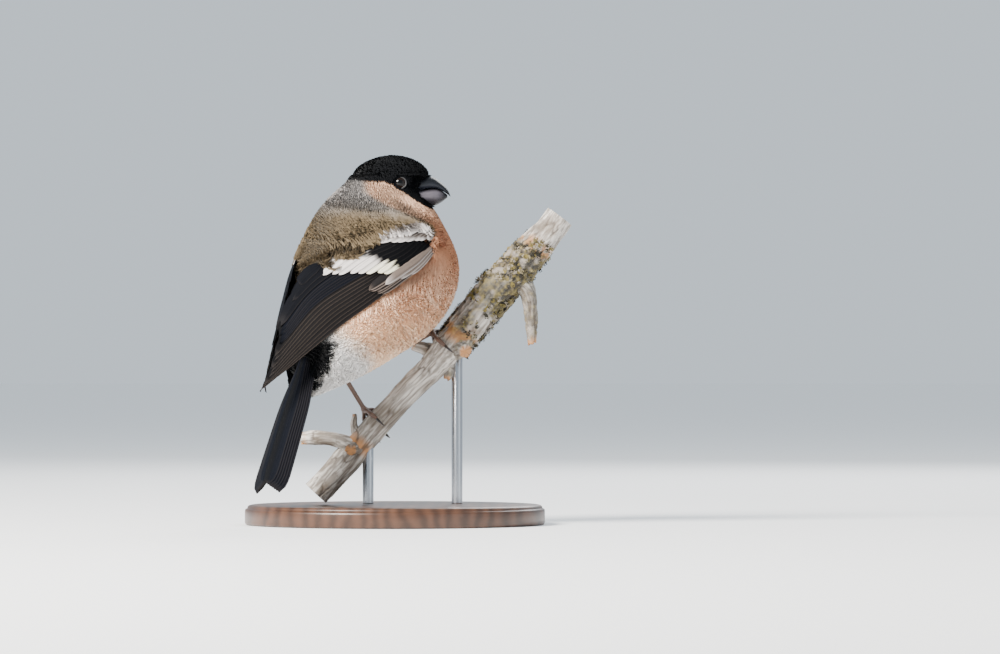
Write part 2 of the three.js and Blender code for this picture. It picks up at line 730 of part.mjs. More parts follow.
function tarsusSolid(leg, grow = 0) {
  const foot = overPerch(leg, 0, 0, 1.5 + gap);
  const hock = place(...leg.hock);
  const away = hock.clone().sub(foot).normalize();
  const start = foot.clone().addScaledVector(away, 1.45 + gap + 0.15 - grow);
  const end = hock.clone().addScaledVector(away, grow);
  const radii = [1.05, 0.86, 0.84, 0.9, 1.15].map((r) => r * (tarsusRadius / 0.9) + grow * 1.25);
  return tube([start, start.clone().lerp(end, 0.5), end], radii, toeSides);
}

const toeNames = ['inner', 'middle', 'outer', 'hind'];

function toesOf(leg) {
  const front = frontToes.map(({ reach, drift }) => ({ reach: -reach, drift: leg.toeDrift[drift] }));
  return [...front, { reach: hindReach, drift: leg.hindDrift }];
}

function clawSolid(leg, toe, grow = 0) {
  const radii = [0.52, 0.42, 0.16].map((r) => r + grow);
  return tube(clawPath(leg, toe.reach, toe.drift, gap + 0.3 - grow), radii, 6);
}

// The stand: a turned base and two rods up into the branch
function discSolid() {
  const edge = 1.5;
  const profile = [
    new THREE.Vector2(0, 0),
    new THREE.Vector2(baseRadius - 0.5, 0),
    new THREE.Vector2(baseRadius, 0.5),
    new THREE.Vector2(baseRadius, baseThickness - edge),
    new THREE.Vector2(baseRadius - 0.5, baseThickness - edge * 0.4),
    new THREE.Vector2(baseRadius - edge, baseThickness),
    new THREE.Vector2(0, baseThickness),
  ];
  const disc = new THREE.LatheGeometry(profile, 36);
  return solid(disc.rotateX(Math.PI / 2));
}

const rodShares = { low: 0.26, high: 0.56 };

function rodSolid(share, bottom, grow = 0) {
  const { centre } = perchAt(share);
  const top = centre.z - 1.5 + grow;
  const foot = bottom - grow;
  const rod = new THREE.CylinderGeometry(rodRadius + grow, rodRadius + grow, top - foot, 20);
  rod.rotateX(Math.PI / 2).translate(centre.x, centre.y, (top + foot) / 2);
  return solid(rod);
}

// Putting the bird together
let flesh = bodySolid();
for (const side of Object.values(sides)) {
  flesh = flesh.add(lidRing(side));
}
for (const [name, side] of Object.entries(sides)) {
  flesh = flesh.subtract(ball(eyeCentre(side), eyeRadius + gap + 0.05));
  flesh = flesh.subtract(wingBed(side));
  flesh = flesh.subtract(tarsusSolid(legs[name], gap));
}
flesh = flesh.subtract(mandible(upperBill, -1, gap + 0.1)).subtract(mandible(lowerBill, 1, gap + 0.1));
flesh = flesh.subtract(tailSocket());

const cuts = {
  head: [[-40, 36.5], [40, 20.5], bodyHeading + headTurn],
  neck: [[-45, 17], [45, 17], bodyHeading],
  belly: [[-60, -11], [45, -26], bodyHeading],
};
const under = Object.fromEntries(Object.entries(cuts).map(([name, cut]) => [name, below(...cut)]));
const parting = Object.fromEntries(Object.entries(cuts).map(([name, cut]) => [name, slab(...cut, gap)]));
for (const name of Object.keys(cuts)) {
  flesh = flesh.subtract(parting[name]);
}
addNode('head', flesh.subtract(under.head), capBlack);
addNode('neck', flesh.intersect(under.head).subtract(under.neck), napeGrey);
addNode('torso', flesh.intersect(under.neck).subtract(under.belly), mantleBrown);

// The tail's own plane parts the rump over it from the belly and vent under it
const hind = flesh.intersect(under.belly);
const rumpDepth = 80;
const overTail = tailPlane(rumpDepth, rumpDepth / 2);
const whole = hind.subtract(tailPlane(gap, 0));
addNode('rump', whole.intersect(overTail), rumpWhite);
addNode('belly', whole.subtract(overTail), bellyPeach);

addNode('bill_upper', upperBillSolid(), billSlate);
addNode('bill_lower', mandible(lowerBill, 1), billPale);
for (const [name, side] of Object.entries(sides)) {
  addNode(`eye_${name}`, ball(eyeCentre(side), eyeRadius), eyeDark);
}
const wings = { right: wingSolid(sides.right), left: wingSolid(sides.left) };
wings.left = wings.left.subtract(wingMidline());
wings.right = wings.right.subtract(wingMidline());
for (const name of Object.keys(sides)) {
  addNode(`wing_${name}`, wings[name], wingBlack);
}
addNode('tail', tailSolid(), wingBlack);

let perch = perchSolid();
for (const leg of Object.values(legs)) {
  perch = perch.subtract(footSolid(leg, gap)).subtract(tarsusSolid(leg, gap));
  for (const toe of toesOf(leg)) {
    perch = perch.subtract(clawSolid(leg, toe, gap));
  }
}
for (const [name, leg] of Object.entries(legs)) {
  addNode(`leg_${name}`, tarsusSolid(leg), legBrown);
  addNode(`foot_${name}`, footSolid(leg), legBrown);
  toesOf(leg).forEach((toe, i) => addNode(`claw_${name}_${toeNames[i]}`, clawSolid(leg, toe), clawDark));
}
for (const [name, share] of Object.entries(rodShares)) {
  perch = perch.subtract(rodSolid(share, baseThickness, gap));
  addNode(`stand_rod_${name}`, rodSolid(share, baseThickness + gap), standSteel);
}
addNode('perch', perch, barkGrey);
addNode('stand_base', discSolid(), standWood);

export default bird;
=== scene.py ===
import math

import bpy
import numpy as np
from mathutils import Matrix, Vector
from mathutils.bvhtree import BVHTree


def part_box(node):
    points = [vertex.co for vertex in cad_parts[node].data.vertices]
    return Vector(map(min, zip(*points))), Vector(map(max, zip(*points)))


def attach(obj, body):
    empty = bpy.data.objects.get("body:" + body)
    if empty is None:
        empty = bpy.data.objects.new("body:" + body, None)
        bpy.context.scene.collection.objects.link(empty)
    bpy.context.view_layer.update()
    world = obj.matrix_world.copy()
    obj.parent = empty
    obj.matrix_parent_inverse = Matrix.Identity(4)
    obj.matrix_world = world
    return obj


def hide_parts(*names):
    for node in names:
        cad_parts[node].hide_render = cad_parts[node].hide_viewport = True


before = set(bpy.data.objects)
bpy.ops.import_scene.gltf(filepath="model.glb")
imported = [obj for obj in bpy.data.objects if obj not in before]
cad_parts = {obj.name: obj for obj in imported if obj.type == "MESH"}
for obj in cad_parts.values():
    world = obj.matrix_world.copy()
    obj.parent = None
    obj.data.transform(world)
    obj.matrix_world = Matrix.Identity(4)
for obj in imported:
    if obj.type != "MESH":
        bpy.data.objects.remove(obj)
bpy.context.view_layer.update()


# Camera
# A long lens two metres away, about level with the feet of the bird, sees it
# left of the middle and the branch rising to the right, as in the photo.
aim = Vector((0.042, 0.0, 0.079))
camera_distance = 2.0
camera_height = 0.060
frame_width = 0.400

camera_data = bpy.data.cameras.new("long_lens")
camera_data.sensor_width = 36
camera_data.lens = camera_data.sensor_width * camera_distance / frame_width
camera_data.clip_start = 0.05
camera_data.clip_end = 200
camera = bpy.data.objects.new("long_lens", camera_data)
camera.location = (aim.x, aim.y - camera_distance, camera_height)
camera.rotation_euler = (aim - camera.location).to_track_quat("-Z", "Y").to_euler()
bpy.context.scene.collection.objects.link(camera)
bpy.context.scene.camera = camera


# Studio floor and light
# A wide pale floor under an even pale sky, with one large soft lamp above on
# the left, a weaker one on the right and one behind that rims the plumage.
def linear(red, green, blue):
    """A display colour from 0 to 255 as the light it stands for."""
    shares = np.array([red, green, blue], float) / 255
    return np.where(shares <= 0.04045, shares / 12.92, ((shares + 0.055) / 1.055) ** 2.4)


def mottled(material, grain, least, most, lowest=0.0):
    """Makes the colour of a finish follow a grain that runs from lowest to 1, between two factors."""
    nodes = material.node_tree.nodes
    links = material.node_tree.links
    colour = nodes["Principled BSDF"].inputs["Base Color"]
    spread = nodes.new("ShaderNodeMapRange")
    spread.inputs["From Min"].default_value = lowest
    spread.inputs["To Min"].default_value = least
    spread.inputs["To Max"].default_value = most
    links.new(grain, spread.inputs["Value"])
    scale = nodes.new("ShaderNodeVectorMath")
    scale.operation = "SCALE"
    links.new(colour.links[0].from_socket, scale.inputs[0])
    links.new(spread.outputs["Result"], scale.inputs["Scale"])
    links.new(scale.outputs[0], colour)


def shaded(name, colour, roughness, bumps=()):
    """A plain finish of one colour, grained by noise.

    Each bump is (size of the grain in metres, height in metres, share by which it darkens).
    """
    material = bpy.data.materials.new(name)
    material.use_nodes = True
    nodes = material.node_tree.nodes
    links = material.node_tree.links
    shader = nodes["Principled BSDF"]
    shader.inputs["Roughness"].default_value = roughness
    where = nodes.new("ShaderNodeTexCoord").outputs["Object"]
    tone = nodes.new("ShaderNodeRGB").outputs[0]
    tone.default_value = (*colour, 1)
    links.new(tone, shader.inputs["Base Color"])
    relief = None
    for size, height, darkening in bumps:
        grain = nodes.new("ShaderNodeTexNoise")
        grain.inputs["Scale"].default_value = 1 / size
        grain.inputs["Detail"].default_value = 4
        links.new(where, grain.inputs["Vector"])
        mottled(material, grain.outputs["Fac"], 1 - darkening, 1 + darkening)
        bump = nodes.new("ShaderNodeBump")
        bump.inputs["Strength"].default_value = 1
        bump.inputs["Distance"].default_value = height
        links.new(grain.outputs["Fac"], bump.inputs["Height"])
        if relief:
            links.new(relief, bump.inputs["Normal"])
        relief = bump.outputs["Normal"]
    if relief:
        links.new(relief, shader.inputs["Normal"])
    return material


def soft_lamp(name, place, target, size, power, tint):
    """A square lamp at a place, turned to its target."""
    lamp = bpy.data.lights.new(name, "AREA")
    lamp.size = size
    lamp.energy = power
    lamp.color = tint
    holder = bpy.data.objects.new(name, lamp)
    holder.location = place
    holder.rotation_euler = (target - Vector(place)).to_track_quat("-Z", "Y").to_euler()
    bpy.context.scene.collection.objects.link(holder)
    return holder


floor_size = 60.0
floor_mesh = bpy.data.meshes.new("studio_floor")
half = floor_size / 2
floor_corners = [(-half, -half, 0), (half, -half, 0), (half, half, 0), (-half, half, 0)]
floor_mesh.from_pydata(floor_corners, [], [(0, 1, 2, 3)])
floor = bpy.data.objects.new("studio_floor", floor_mesh)
bpy.context.scene.collection.objects.link(floor)
floor_mesh.materials.append(shaded("pale_floor", linear(252, 252, 252), 0.9))

world = bpy.data.worlds.new("pale_sky")
world.use_nodes = True
sky = world.node_tree.nodes["Background"]
sky.inputs["Color"].default_value = (*linear(214, 226, 236), 1)
sky.inputs["Strength"].default_value = 1.05
bpy.context.scene.world = world

bird_middle = Vector((0.0, 0.0, 0.1))
lamps = [
    soft_lamp("key_lamp", (-1.0, -0.9, 0.95), bird_middle, 0.6, 94, (1.0, 0.96, 0.9)),
    soft_lamp("fill_lamp", (0.95, -0.75, 0.35), bird_middle, 0.7, 1.5, (0.93, 0.96, 1.0)),
    soft_lamp("rim_lamp", (0.35, 1.0, 0.75), bird_middle, 0.6, 9, (1.0, 1.0, 1.0)),
]


# Skin
# The thin pale skin of the bird is one closed surface over the whole body.
# It is felt out from inside the solids of the body with straight feelers and
# lies under them by the depth of the plumage.

# Places on the bird are millimetres forward, to the right and up from the
# middle of its body. The head is turned back over the neck.
mm = 0.001
body_centre = np.array([-6.0, -4.0, 100.0])
body_heading = math.radians(35)
head_turn = math.radians(-35)
neck_twist = (16, 31)
flesh_nodes = ["head", "neck", "torso", "rump", "belly"]
sides = {"left": -1, "right": 1}

# The middle line of the body from the head down to the vent (forward, up)
body_line = [(5.2, 39.5), (1.5, 33.5), (-0.8, 25.5), (-0.8, 14), (-1.2, 1), (-6.5, -13),
             (-16.5, -25.5), (-28, -36), (-34.5, -42.5)]
body_tilt = math.radians(52)
skin_sides = 128
crown_rows, trunk_rows, vent_rows = 24, 96, 14

# A feeler goes on through a gap between two solids up to the widest one. The
# skin is stretched over places where a feeler ends near the bill or an eye,
# where it is too short and where it jumps from the feelers before and after.
widest_gap = 2 * mm
bill_clearance = 0.7 * mm
eye_clearance = 4.2 * mm
shortest_feeler = 1 * mm
feeler_jump = 2.5 * mm
jump_rows = 5
stretch_rounds = 400
body_softening, neck_softening = 8, 24
neck_rows = (30, 42, 70, 84)
least_depth, more_depth = 0.45 * mm, 0.2 * mm


def ease(value, start, end):
    """0 before start, 1 after end and smooth between them."""
    share = np.clip((np.asarray(value, float) - start) / (end - start), 0, 1)
    return share * share * (3 - 2 * share)


def heading(up):
    """The way the bird faces at a height: the head is turned back over the neck."""
    return body_heading + head_turn * ease(up, *neck_twist)


def swung(first, second, turn):
    """Turns (forward, right) into (east, north), and (east, north) into (forward, right)."""
    return first * np.cos(turn) + second * np.sin(turn), first * np.sin(turn) - second * np.cos(turn)


def place(forward, right, up):
    """Points of the model, in metres, from distances along the bird's own axes, in millimetres."""
    forward, right, up = np.broadcast_arrays(forward, right, up)
    east, north = swung(forward, right, heading(up))
    return (np.stack([east, north, up], -1) + body_centre) * mm


def bird_axes(points):
    """The reverse of place."""
    east, north, up = np.moveaxis(np.asarray(points) / mm - body_centre, -1, 0)
    forward, right = swung(east, north, heading(up))
    return forward, right, up


def smooth_line(knots, share):
    """Points on the smooth line through knots, at shares of its length counted in spans."""
    knots = np.asarray(knots, float)
    spans = len(knots) - 1
    padded = np.vstack([2 * knots[0] - knots[1], knots, 2 * knots[-1] - knots[-2]])
    reach = np.clip(np.asarray(share, float), 0, 1.05) * spans
    span = np.minimum(reach.astype(int), spans - 1)
    x = (reach - span)[..., None]
    a, b, c, d = (padded[span + k] for k in range(4))
    return b + 0.5 * x * (c - a + x * (2 * a - 5 * b + 4 * c - d + x * (3 * (b - c) + d - a)))


def unit(vectors):
    """The vectors at length 1."""
    return vectors / np.maximum(np.linalg.norm(vectors, axis=-1, keepdims=True), 1e-12)


def noise(points, cell, seed=0):
    """Smooth noise between -1 and 1 at points in metres, with lumps about one cell wide."""
    scaled = np.asarray(points, float) / cell
    corner = np.floor(scaled).astype(np.int64)
    part = scaled - corner
    part = part * part * (3 - 2 * part)
    total = np.zeros(scaled.shape[:-1])
    for step in np.ndindex(2, 2, 2):
        code = seed * 7919 + 17
        for axis, prime in enumerate((73856093, 19349663, 83492791)):
            code = code ^ (corner + step)[..., axis] * prime
        code = (code ^ (code >> 13)) * 1274126177
        code = (code ^ (code >> 16)) & 0xFFFF
        total += np.prod(np.where(step, part, 1 - part), axis=-1) * (code / 32767.5 - 1)
    return total


def around(count):
    """Angles of one full turn, in equal steps."""
    return np.linspace(0, 2 * math.pi, count, endpoint=False)


def tree_of(objects):
    """The faces of several objects in one tree for feeling."""
    points, faces = [], []
    for one in objects:
        start = len(points)
        points.extend(vertex.co for vertex in one.data.vertices)
        faces.extend([start + index for index in polygon.vertices] for polygon in one.data.polygons)
    return BVHTree.FromPolygons(points, faces)


def feelers():
    """Start points and directions of the feelers, one row after the other from crown to vent."""
    line = smooth_line(body_line, np.linspace(0, 1, trunk_rows))
    tilt = body_tilt * ease(-line[:, 1], -8, 36)
    slope = np.stack([-np.sin(tilt), -np.cos(tilt)], -1)
    middle = np.vstack([np.repeat(line[:1], crown_rows, 0), line, np.repeat(line[-1:], vent_rows, 0)])
    down = np.vstack([np.repeat([(0, -1)], crown_rows, 0), slope, np.repeat(slope[-1:], vent_rows, 0)])
    rise = np.concatenate([
        np.linspace(math.radians(88), math.radians(3), crown_rows), np.zeros(trunk_rows),
        np.linspace(math.radians(-6), math.radians(-88), vent_rows),
    ])
    down_forward, down_up = down.T[..., None]
    level, steep = np.cos(rise)[:, None], np.sin(rise)[:, None]
    front, aside = np.cos(around(skin_sides)), np.sin(around(skin_sides))
    forward = -down_up * front * level - down_forward * steep
    up = down_forward * front * level - down_up * steep
    east, north = swung(forward, aside * level, heading(middle[:, 1])[:, None])
    return place(middle[:, 0], 0, middle[:, 1]), np.stack([east, north, up], -1)


def softened(grid, times):
    """The grid smoothed round the body and along it."""
    for _ in range(times):
        grid = 0.5 * grid + 0.25 * (np.roll(grid, 1, 1) + np.roll(grid, -1, 1))
        inner = 0.5 * grid[1:-1] + 0.25 * (grid[:-2] + grid[2:])
        grid = np.concatenate([grid[:1], inner, grid[-1:]])
    return grid


def felt(start, way):
    """How far the flesh reaches from a start point, past gaps between its solids."""
    farthest = 0.0
    spot = start
    while True:
        hit, normal = flesh_tree.ray_cast(spot, way)[:2]
        leaving = hit is not None and normal.dot(way) > 0
        if hit is None or (farthest and not leaving and (hit - start).length > farthest + widest_gap):
            return farthest
        spot = hit + way * 1e-5
        if leaving:
            farthest = (hit - start).length


flesh_tree = tree_of([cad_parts[name] for name in flesh_nodes])
bill_tree = tree_of([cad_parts[name] for name in ("bill_upper", "bill_lower")])
eye_centres = [sum(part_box(f"eye_{side_name}"), Vector()) / 2 for side_name in sides]
starts, directions = feelers()
skin_rows = len(starts)
reach = np.zeros((skin_rows, skin_sides))
bridged = np.zeros((skin_rows, skin_sides), bool)
for i, k in np.ndindex(skin_rows, skin_sides):
    start = Vector(starts[i])
    way = Vector(directions[i, k])
    reach[i, k] = felt(start, way)
    surface = start + way * reach[i, k]
    near_bill = bill_tree.find_nearest(surface)[3] < bill_clearance
    near_eye = min((surface - eye).length for eye in eye_centres) < eye_clearance
    bridged[i, k] = near_bill or near_eye or reach[i, k] < shortest_feeler
column = np.stack([np.roll(reach, i, 0) for i in range(-jump_rows, jump_rows + 1)])
column[:, :jump_rows] = reach[:jump_rows]
column[:, -jump_rows:] = reach[-jump_rows:]
usual_reach = np.median(column, 0)
bridged |= np.abs(reach - usual_reach) > feeler_jump
reach[bridged] = usual_reach[bridged]
for _ in range(stretch_rounds):
    beside = np.roll(reach, 1, 1) + np.roll(reach, -1, 1) + np.roll(reach, 1, 0) + np.roll(reach, -1, 0)
    reach = np.where(bridged, beside / 4, reach)
for _ in range(2):
    neighbours = np.stack([np.roll(np.roll(reach, i, 0), k, 1) for i in (-1, 0, 1) for k in (-1, 0, 1)])
    middle_rows = np.median(neighbours, 0)[1:-1]
    reach = np.concatenate([reach[:1], middle_rows, reach[-1:]])
row_numbers = np.arange(skin_rows)
near_neck = (ease(row_numbers, *neck_rows[:2]) * (1 - ease(row_numbers, *neck_rows[2:])))[:, None]
outer = softened(reach, body_softening) * (1 - near_neck) + softened(reach, neck_softening) * near_neck
coat_depth = least_depth + more_depth * ease(row_numbers, 20, 60)[:, None]
skin_grid = starts[:, None] + directions * (outer - coat_depth)[..., None]


def grid_faces(rows, columns, closed):
    """Quads of a grid whose points are numbered row by row.

    Where it is closed, its last column is joined to the first.
    """
    i, k = np.meshgrid(np.arange(rows - 1), np.arange(columns if closed else columns - 1), indexing="ij")
    beside = (k + 1) % columns
    this_row, next_row = i * columns, (i + 1) * columns
    return np.stack([this_row + k, next_row + k, next_row + beside, this_row + beside], -1).reshape(-1, 4)


def make_mesh(name, points, faces, finish, tint=None, bake=None):
    """An object from arrays. faces is one array or several.

    tint holds a colour for each point and bake its place on the map.
    """
    groups = faces if isinstance(faces, list) else [faces]
    mesh = bpy.data.meshes.new(name)
    mesh.vertices.add(len(points))
    mesh.vertices.foreach_set("co", np.asarray(points, np.float32).ravel())
    corners = np.concatenate([group.ravel() for group in groups]).astype(np.int32)
    counts = np.concatenate([np.full(len(group), group.shape[1]) for group in groups])
    mesh.loops.add(len(corners))
    mesh.loops.foreach_set("vertex_index", corners)
    mesh.polygons.add(len(counts))
    mesh.polygons.foreach_set("loop_start", np.concatenate([[0], np.cumsum(counts)[:-1]]).astype(np.int32))
    mesh.update(calc_edges=True)
    mesh.validate()
    mesh.shade_smooth()
    if tint is not None:
        layer = mesh.attributes.new("tint", "FLOAT_COLOR", "POINT")
        layer.data.foreach_set("color", np.hstack([tint, np.ones((len(tint), 1))]).astype(np.float32).ravel())
    if bake is not None:
        layer = mesh.uv_layers.new(name="OFBake")
        layer.data.foreach_set("uv", np.asarray(bake, np.float32)[corners].ravel())
    mesh.materials.append(finish)
    whole = bpy.data.objects.new(name, mesh)
    bpy.context.scene.collection.objects.link(whole)
    return whole


def fitted(piece, slot, *nodes):
    """The piece rides on the one body and stands for these nodes. The slot is not used."""
    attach(piece, "root")
    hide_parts(*nodes)
    return piece


def end_caps(rows, columns):
    """Triangles that close both ends of a round grid with one point more at each end."""
    first = rows * columns
    k = np.arange(columns)
    beside = (k + 1) % columns
    top = np.stack([np.full(columns, first), k, beside], -1)
    last = (rows - 1) * columns
    bottom = np.stack([np.full(columns, first + 1), last + beside, last + k], -1)
    return np.concatenate([top, bottom])


# Markings of the plumage, by place on the bird
cap_black = linear(7, 8, 11)
cheek_buff = linear(194, 158, 132)
nape_grey = linear(152, 147, 144)
mantle_brown = linear(104, 90, 70)
breast_pink = linear(190, 138, 107)
belly_peach = linear(250, 218, 188)
vent_white = linear(244, 241, 238)
rump_white = linear(232, 230, 228)
tail_root = (-33.6, -26.6)

# How far forward the back reaches on the side of the body, by height
flank_heights = [-40, -20, 0, 10, 14, 18, 32, 45]
flank_line = [-44, -36, -24, -8, 6, 11.5, -5.6, -6.5]

# The height of the lower edge of the black cap and bib, from nape to bill
cap_forward = [-20, 2, 4.6, 6.5, 8.5, 10.5, 12.5, 15, 17, 19.5, 26]
cap_heights = [36.3, 36.3, 35.3, 33.6, 32.3, 31.2, 29.4, 27.6, 26.1, 25.2, 24.8]


def mixed(under, over, share):
    """The colour under with a share of the colour over laid on it."""
    return under + (over - under) * np.asarray(share, float)[..., None]


def markings(points):
    """The colour of the plumage at points of the model.

    The limits of each marking are millimetres on the bird's own axes.
    """
    forward, right, up = bird_axes(points)
    ragged = noise(points, 2.2 * mm, 3) * 0.5 + noise(points, 6 * mm, 4) * 0.5
    front = forward - np.interp(up, flank_heights, flank_line)
    back = mixed(mantle_brown, nape_grey, ease(up + 2 * ragged, 19, 31))
    breast = mixed(belly_peach, breast_pink, ease(up + 3 * ragged, -26, 8))
    breast = mixed(breast, cheek_buff, ease(up, 16, 27))
    colour = mixed(back, breast, ease(front + 1.2 * ragged, -2.5, 2.5))
    colour = mixed(colour, vent_white, ease(-up - 0.75 * forward + 3 * ragged, 42, 52))

    # The rump is black at the sides and white in the narrow middle.
    over_root = up - tail_root[1]
    tail_line = 0.396 * over_root + tail_root[0]
    behind = ease(0.6 * over_root + tail_root[0] - forward, -2, 3)
    narrow = 1 - ease(np.abs(right) + ragged, 4, 7)
    colour = mixed(colour, cap_black, behind * ease(-up + ragged, 3, 8))
    colour = mixed(colour, rump_white, narrow * behind * ease(-up + ragged, 6, 12))

    # Black feathers lie beside the root of the tail and leave the rump free.
    margin = 2.2 + 0.22 * np.clip(-up - 26, 0, 14)
    beside_tail = ease(tail_line + margin - forward, -0.6, 0.6) * ease(-up + ragged, 26.5, 28.5)
    rump_patch = ease(tail_line - 3 - forward, -0.6, 0.6) * (1 - ease(-up + 1.5 * ragged, 36.0, 38.0))
    colour = mixed(colour, cap_black, beside_tail * (1 - rump_patch))
    over_cap_edge = up - np.interp(forward, cap_forward, cap_heights)
    return mixed(colour, cap_black, ease(over_cap_edge + 0.35 * ragged, -0.35, 0.35))


def plumage_finish(name, roughness=0.9, sheen=0.02, gloss=0.05):
    """A soft finish whose colour comes from the tint of each feather."""
    material = bpy.data.materials.new(name)
    material.use_nodes = True
    nodes = material.node_tree.nodes
    links = material.node_tree.links
    shader = nodes["Principled BSDF"]
    shader.inputs["Roughness"].default_value = roughness
    shader.inputs["Specular IOR Level"].default_value = gloss
    shader.inputs["Sheen Weight"].default_value = sheen
    shader.inputs["Sheen Roughness"].default_value = 0.5
    tint = nodes.new("ShaderNodeAttribute")
    tint.attribute_name = "tint"
    links.new(tint.outputs["Color"], shader.inputs["Base Color"])
    fleck = nodes.new("ShaderNodeTexNoise")
    fleck.inputs["Scale"].default_value = 1600
    fleck.inputs["Detail"].default_value = 3
    links.new(nodes.new("ShaderNodeTexCoord").outputs["Object"], fleck.inputs["Vector"])
    mottled(material, fleck.outputs["Fac"], 0.93, 1.06)
    return material


def barb_wave(material):
    """A wave that runs once across each barb of a feather, from -1 to 1."""
    nodes = material.node_tree.nodes
    barb = nodes.new("ShaderNodeAttribute")
    barb.attribute_name = "barb"
    wave = nodes.new("ShaderNodeMath")
    wave.operation = "SINE"
    material.node_tree.links.new(barb.outputs["Fac"], wave.inputs[0])
    return wave.outputs[0]


def barb_places(whole, barbs):
    """Gives a piece, for each of its points, the place in the wave of the barbs."""
    layer = whole.data.attributes.new("barb", "FLOAT", "POINT")
    layer.data.foreach_set("value", barbs.astype(np.float32).ravel())
    return whole


soft_plumage = plumage_finish("soft_plumage")
streak_contrast = 0.12
mottled(soft_plumage, barb_wave(soft_plumage), 1 - streak_contrast, 1 + streak_contrast, -1.0)
skin_points = np.vstack([skin_grid.reshape(-1, 3), skin_grid[0].mean(0), skin_grid[-1].mean(0)])
turn_share = around(skin_sides)[None] / (2 * math.pi)
row_share = (row_numbers[:, None] + 0.5) / skin_rows
skin_map = np.stack(np.broadcast_arrays(turn_share, 1 - row_share), -1).reshape(-1, 2)
skin_map = np.vstack([skin_map, [0.5, 1.0], [0.5, 0.0]])
skin_faces = [grid_faces(skin_rows, skin_sides, True), end_caps(skin_rows, skin_sides)]
skin = make_mesh("skin", skin_points, skin_faces, soft_plumage, markings(skin_points), skin_map)
fitted(skin, "mantle", *flesh_nodes)


# Wings
# Each folded wing is built of stiff vanes in tiers: primaries, secondaries,
# tertials and the coverts over them. A vane is horn, drawn as a thin curved
# blade with a raised shaft, and rooted in the arm under the coverts.
wing_edges = {
    "leading": [(8, 26, 11), (-1, 28.3, 3), (-11, 27.5, -4), (-21, 23.8, -12), (-31, 17.6, -20.5),
                (-45, 10, -34), (-57, 5, -46.6)],
    "middle": [(6.5, 27.2, 14), (-7, 28.2, 8), (-19.5, 24.6, 2.5), (-30, 17.6, -5.5),
               (-39.2, 11.4, -15), (-49, 6.6, -30.5), (-58, 3.8, -47)],
    "inner": [(4, 25, 17), (-12, 23.6, 13), (-26, 15, 8), (-36, 8, 1), (-43, 3.6, -10),
              (-50.5, 2.2, -27), (-58.6, 2.6, -47)],
}
far_wing_tuck = 6.5
vane_spots = 26
vane_cuts = np.array([0, 0.1, 0.22, 0.31, 0.345, 0.38, 0.46, 0.6, 0.75, 0.9, 1.0])
shaft_at = 0.345
vane_thickness = 0.3
barb_pitch = 0.42


def wing_surface(side, s, t):
    """Points of the folded wing: s runs from wrist to tip, t from the leading edge to the tertials."""
    s, t = np.broadcast_arrays(np.asarray(s, float), np.asarray(t, float))
    shares = ((1 - t) * (1 - 2 * t), 4 * t * (1 - t), t * (2 * t - 1))
    spot = sum(share[..., None] * smooth_line(edge, s) for share, edge in zip(shares, wing_edges.values()))
    tuck = far_wing_tuck * np.clip(s, 0, 1) ** 3 if side < 0 else 0
    return place(spot[..., 0] + tuck, spot[..., 1] * side, spot[..., 2])


def wing_frame(side, s, t):
    """Points with the ways along, across and out of the folded wing."""
    step = 0.01
    spot = wing_surface(side, s, t)
    along = unit(wing_surface(side, s + step, t) - wing_surface(side, np.maximum(s - step, 0), t))
    across = wing_surface(side, s, t + step) - wing_surface(side, s, t - step)
    across = unit(across - along * (across * along).sum(-1, keepdims=True))
    return spot, along, across, np.cross(across, along) * side


def vane_outline(share, point):
    """Width of a vane along it, as a share of its full width. point is how early the tip tapers."""
    body = 0.45 + 0.55 * ease(share, 0, 0.4)
    taper = np.sqrt(np.maximum(1 - np.clip((share - (1 - point)) / point, 0, 1) ** 2, 0))
    return body * np.maximum(taper, 0.04)


def shaft_ridge(share, height, width, fade):
    """Height of the raised shaft over a vane, with the share by which it fades to the tip."""
    return height * np.exp(-((vane_cuts - shaft_at) / width) ** 2) * (1 - fade * share[:, None])


def cross_arch(height):
    """Height of the arch of a vane across it."""
    return height * (1 - (2 * vane_cuts - 1) ** 2)


def blade(spots, across, outward, width, high, low, point, seed):
    """A closed thin blade. Its exposed edge follows spots and its hidden edge lies lower."""
    share = np.linspace(0, 1, len(spots))
    wide = width * vane_outline(share, point)
    fray = 1 + 0.035 * noise(np.stack([share * 14, share * 0, share * 0 + seed], -1), 1, 5)
    offset = shaft_at * (width - wide)[:, None] + (wide * fray)[:, None] * vane_cuts
    lift = high + (low - high) * vane_cuts + shaft_ridge(share, 0.14, 0.025, 0.7) + cross_arch(0.16)
    edge = 0.35 + 0.65 * (1 - (2 * vane_cuts - 1) ** 4)
    edge = vane_thickness * edge * (1 - 0.4 * share[:, None])
    base = spots[:, None] + across[:, None] * offset[..., None] * mm
    top = base + outward[:, None] * lift[..., None] * mm
    under = base + outward[:, None] * (lift - edge)[..., None] * mm
    return top, under, share


def closed_plate(rows, columns):
    """Quads over the top and the underside of a blade and round its rim."""
    over = grid_faces(rows, columns, False)
    count = rows * columns
    beneath = over[:, ::-1] + count
    i = np.arange(rows - 1) * columns
    k = np.arange(columns - 1)
    last = columns - 1
    end = (rows - 1) * columns
    first_rim = np.stack([i, i + columns, i + columns + count, i + count][::-1], -1)
    last_rim = np.stack([i + last, i + last + columns, i + last + columns + count, i + last + count], -1)
    near_rim = np.stack([k, k + 1, k + 1 + count, k + count], -1)
    far_rim = np.stack([k + end, k + end + 1, k + end + 1 + count, k + end + count][::-1], -1)
    return np.concatenate([over, beneath, first_rim, last_rim, near_rim, far_rim])


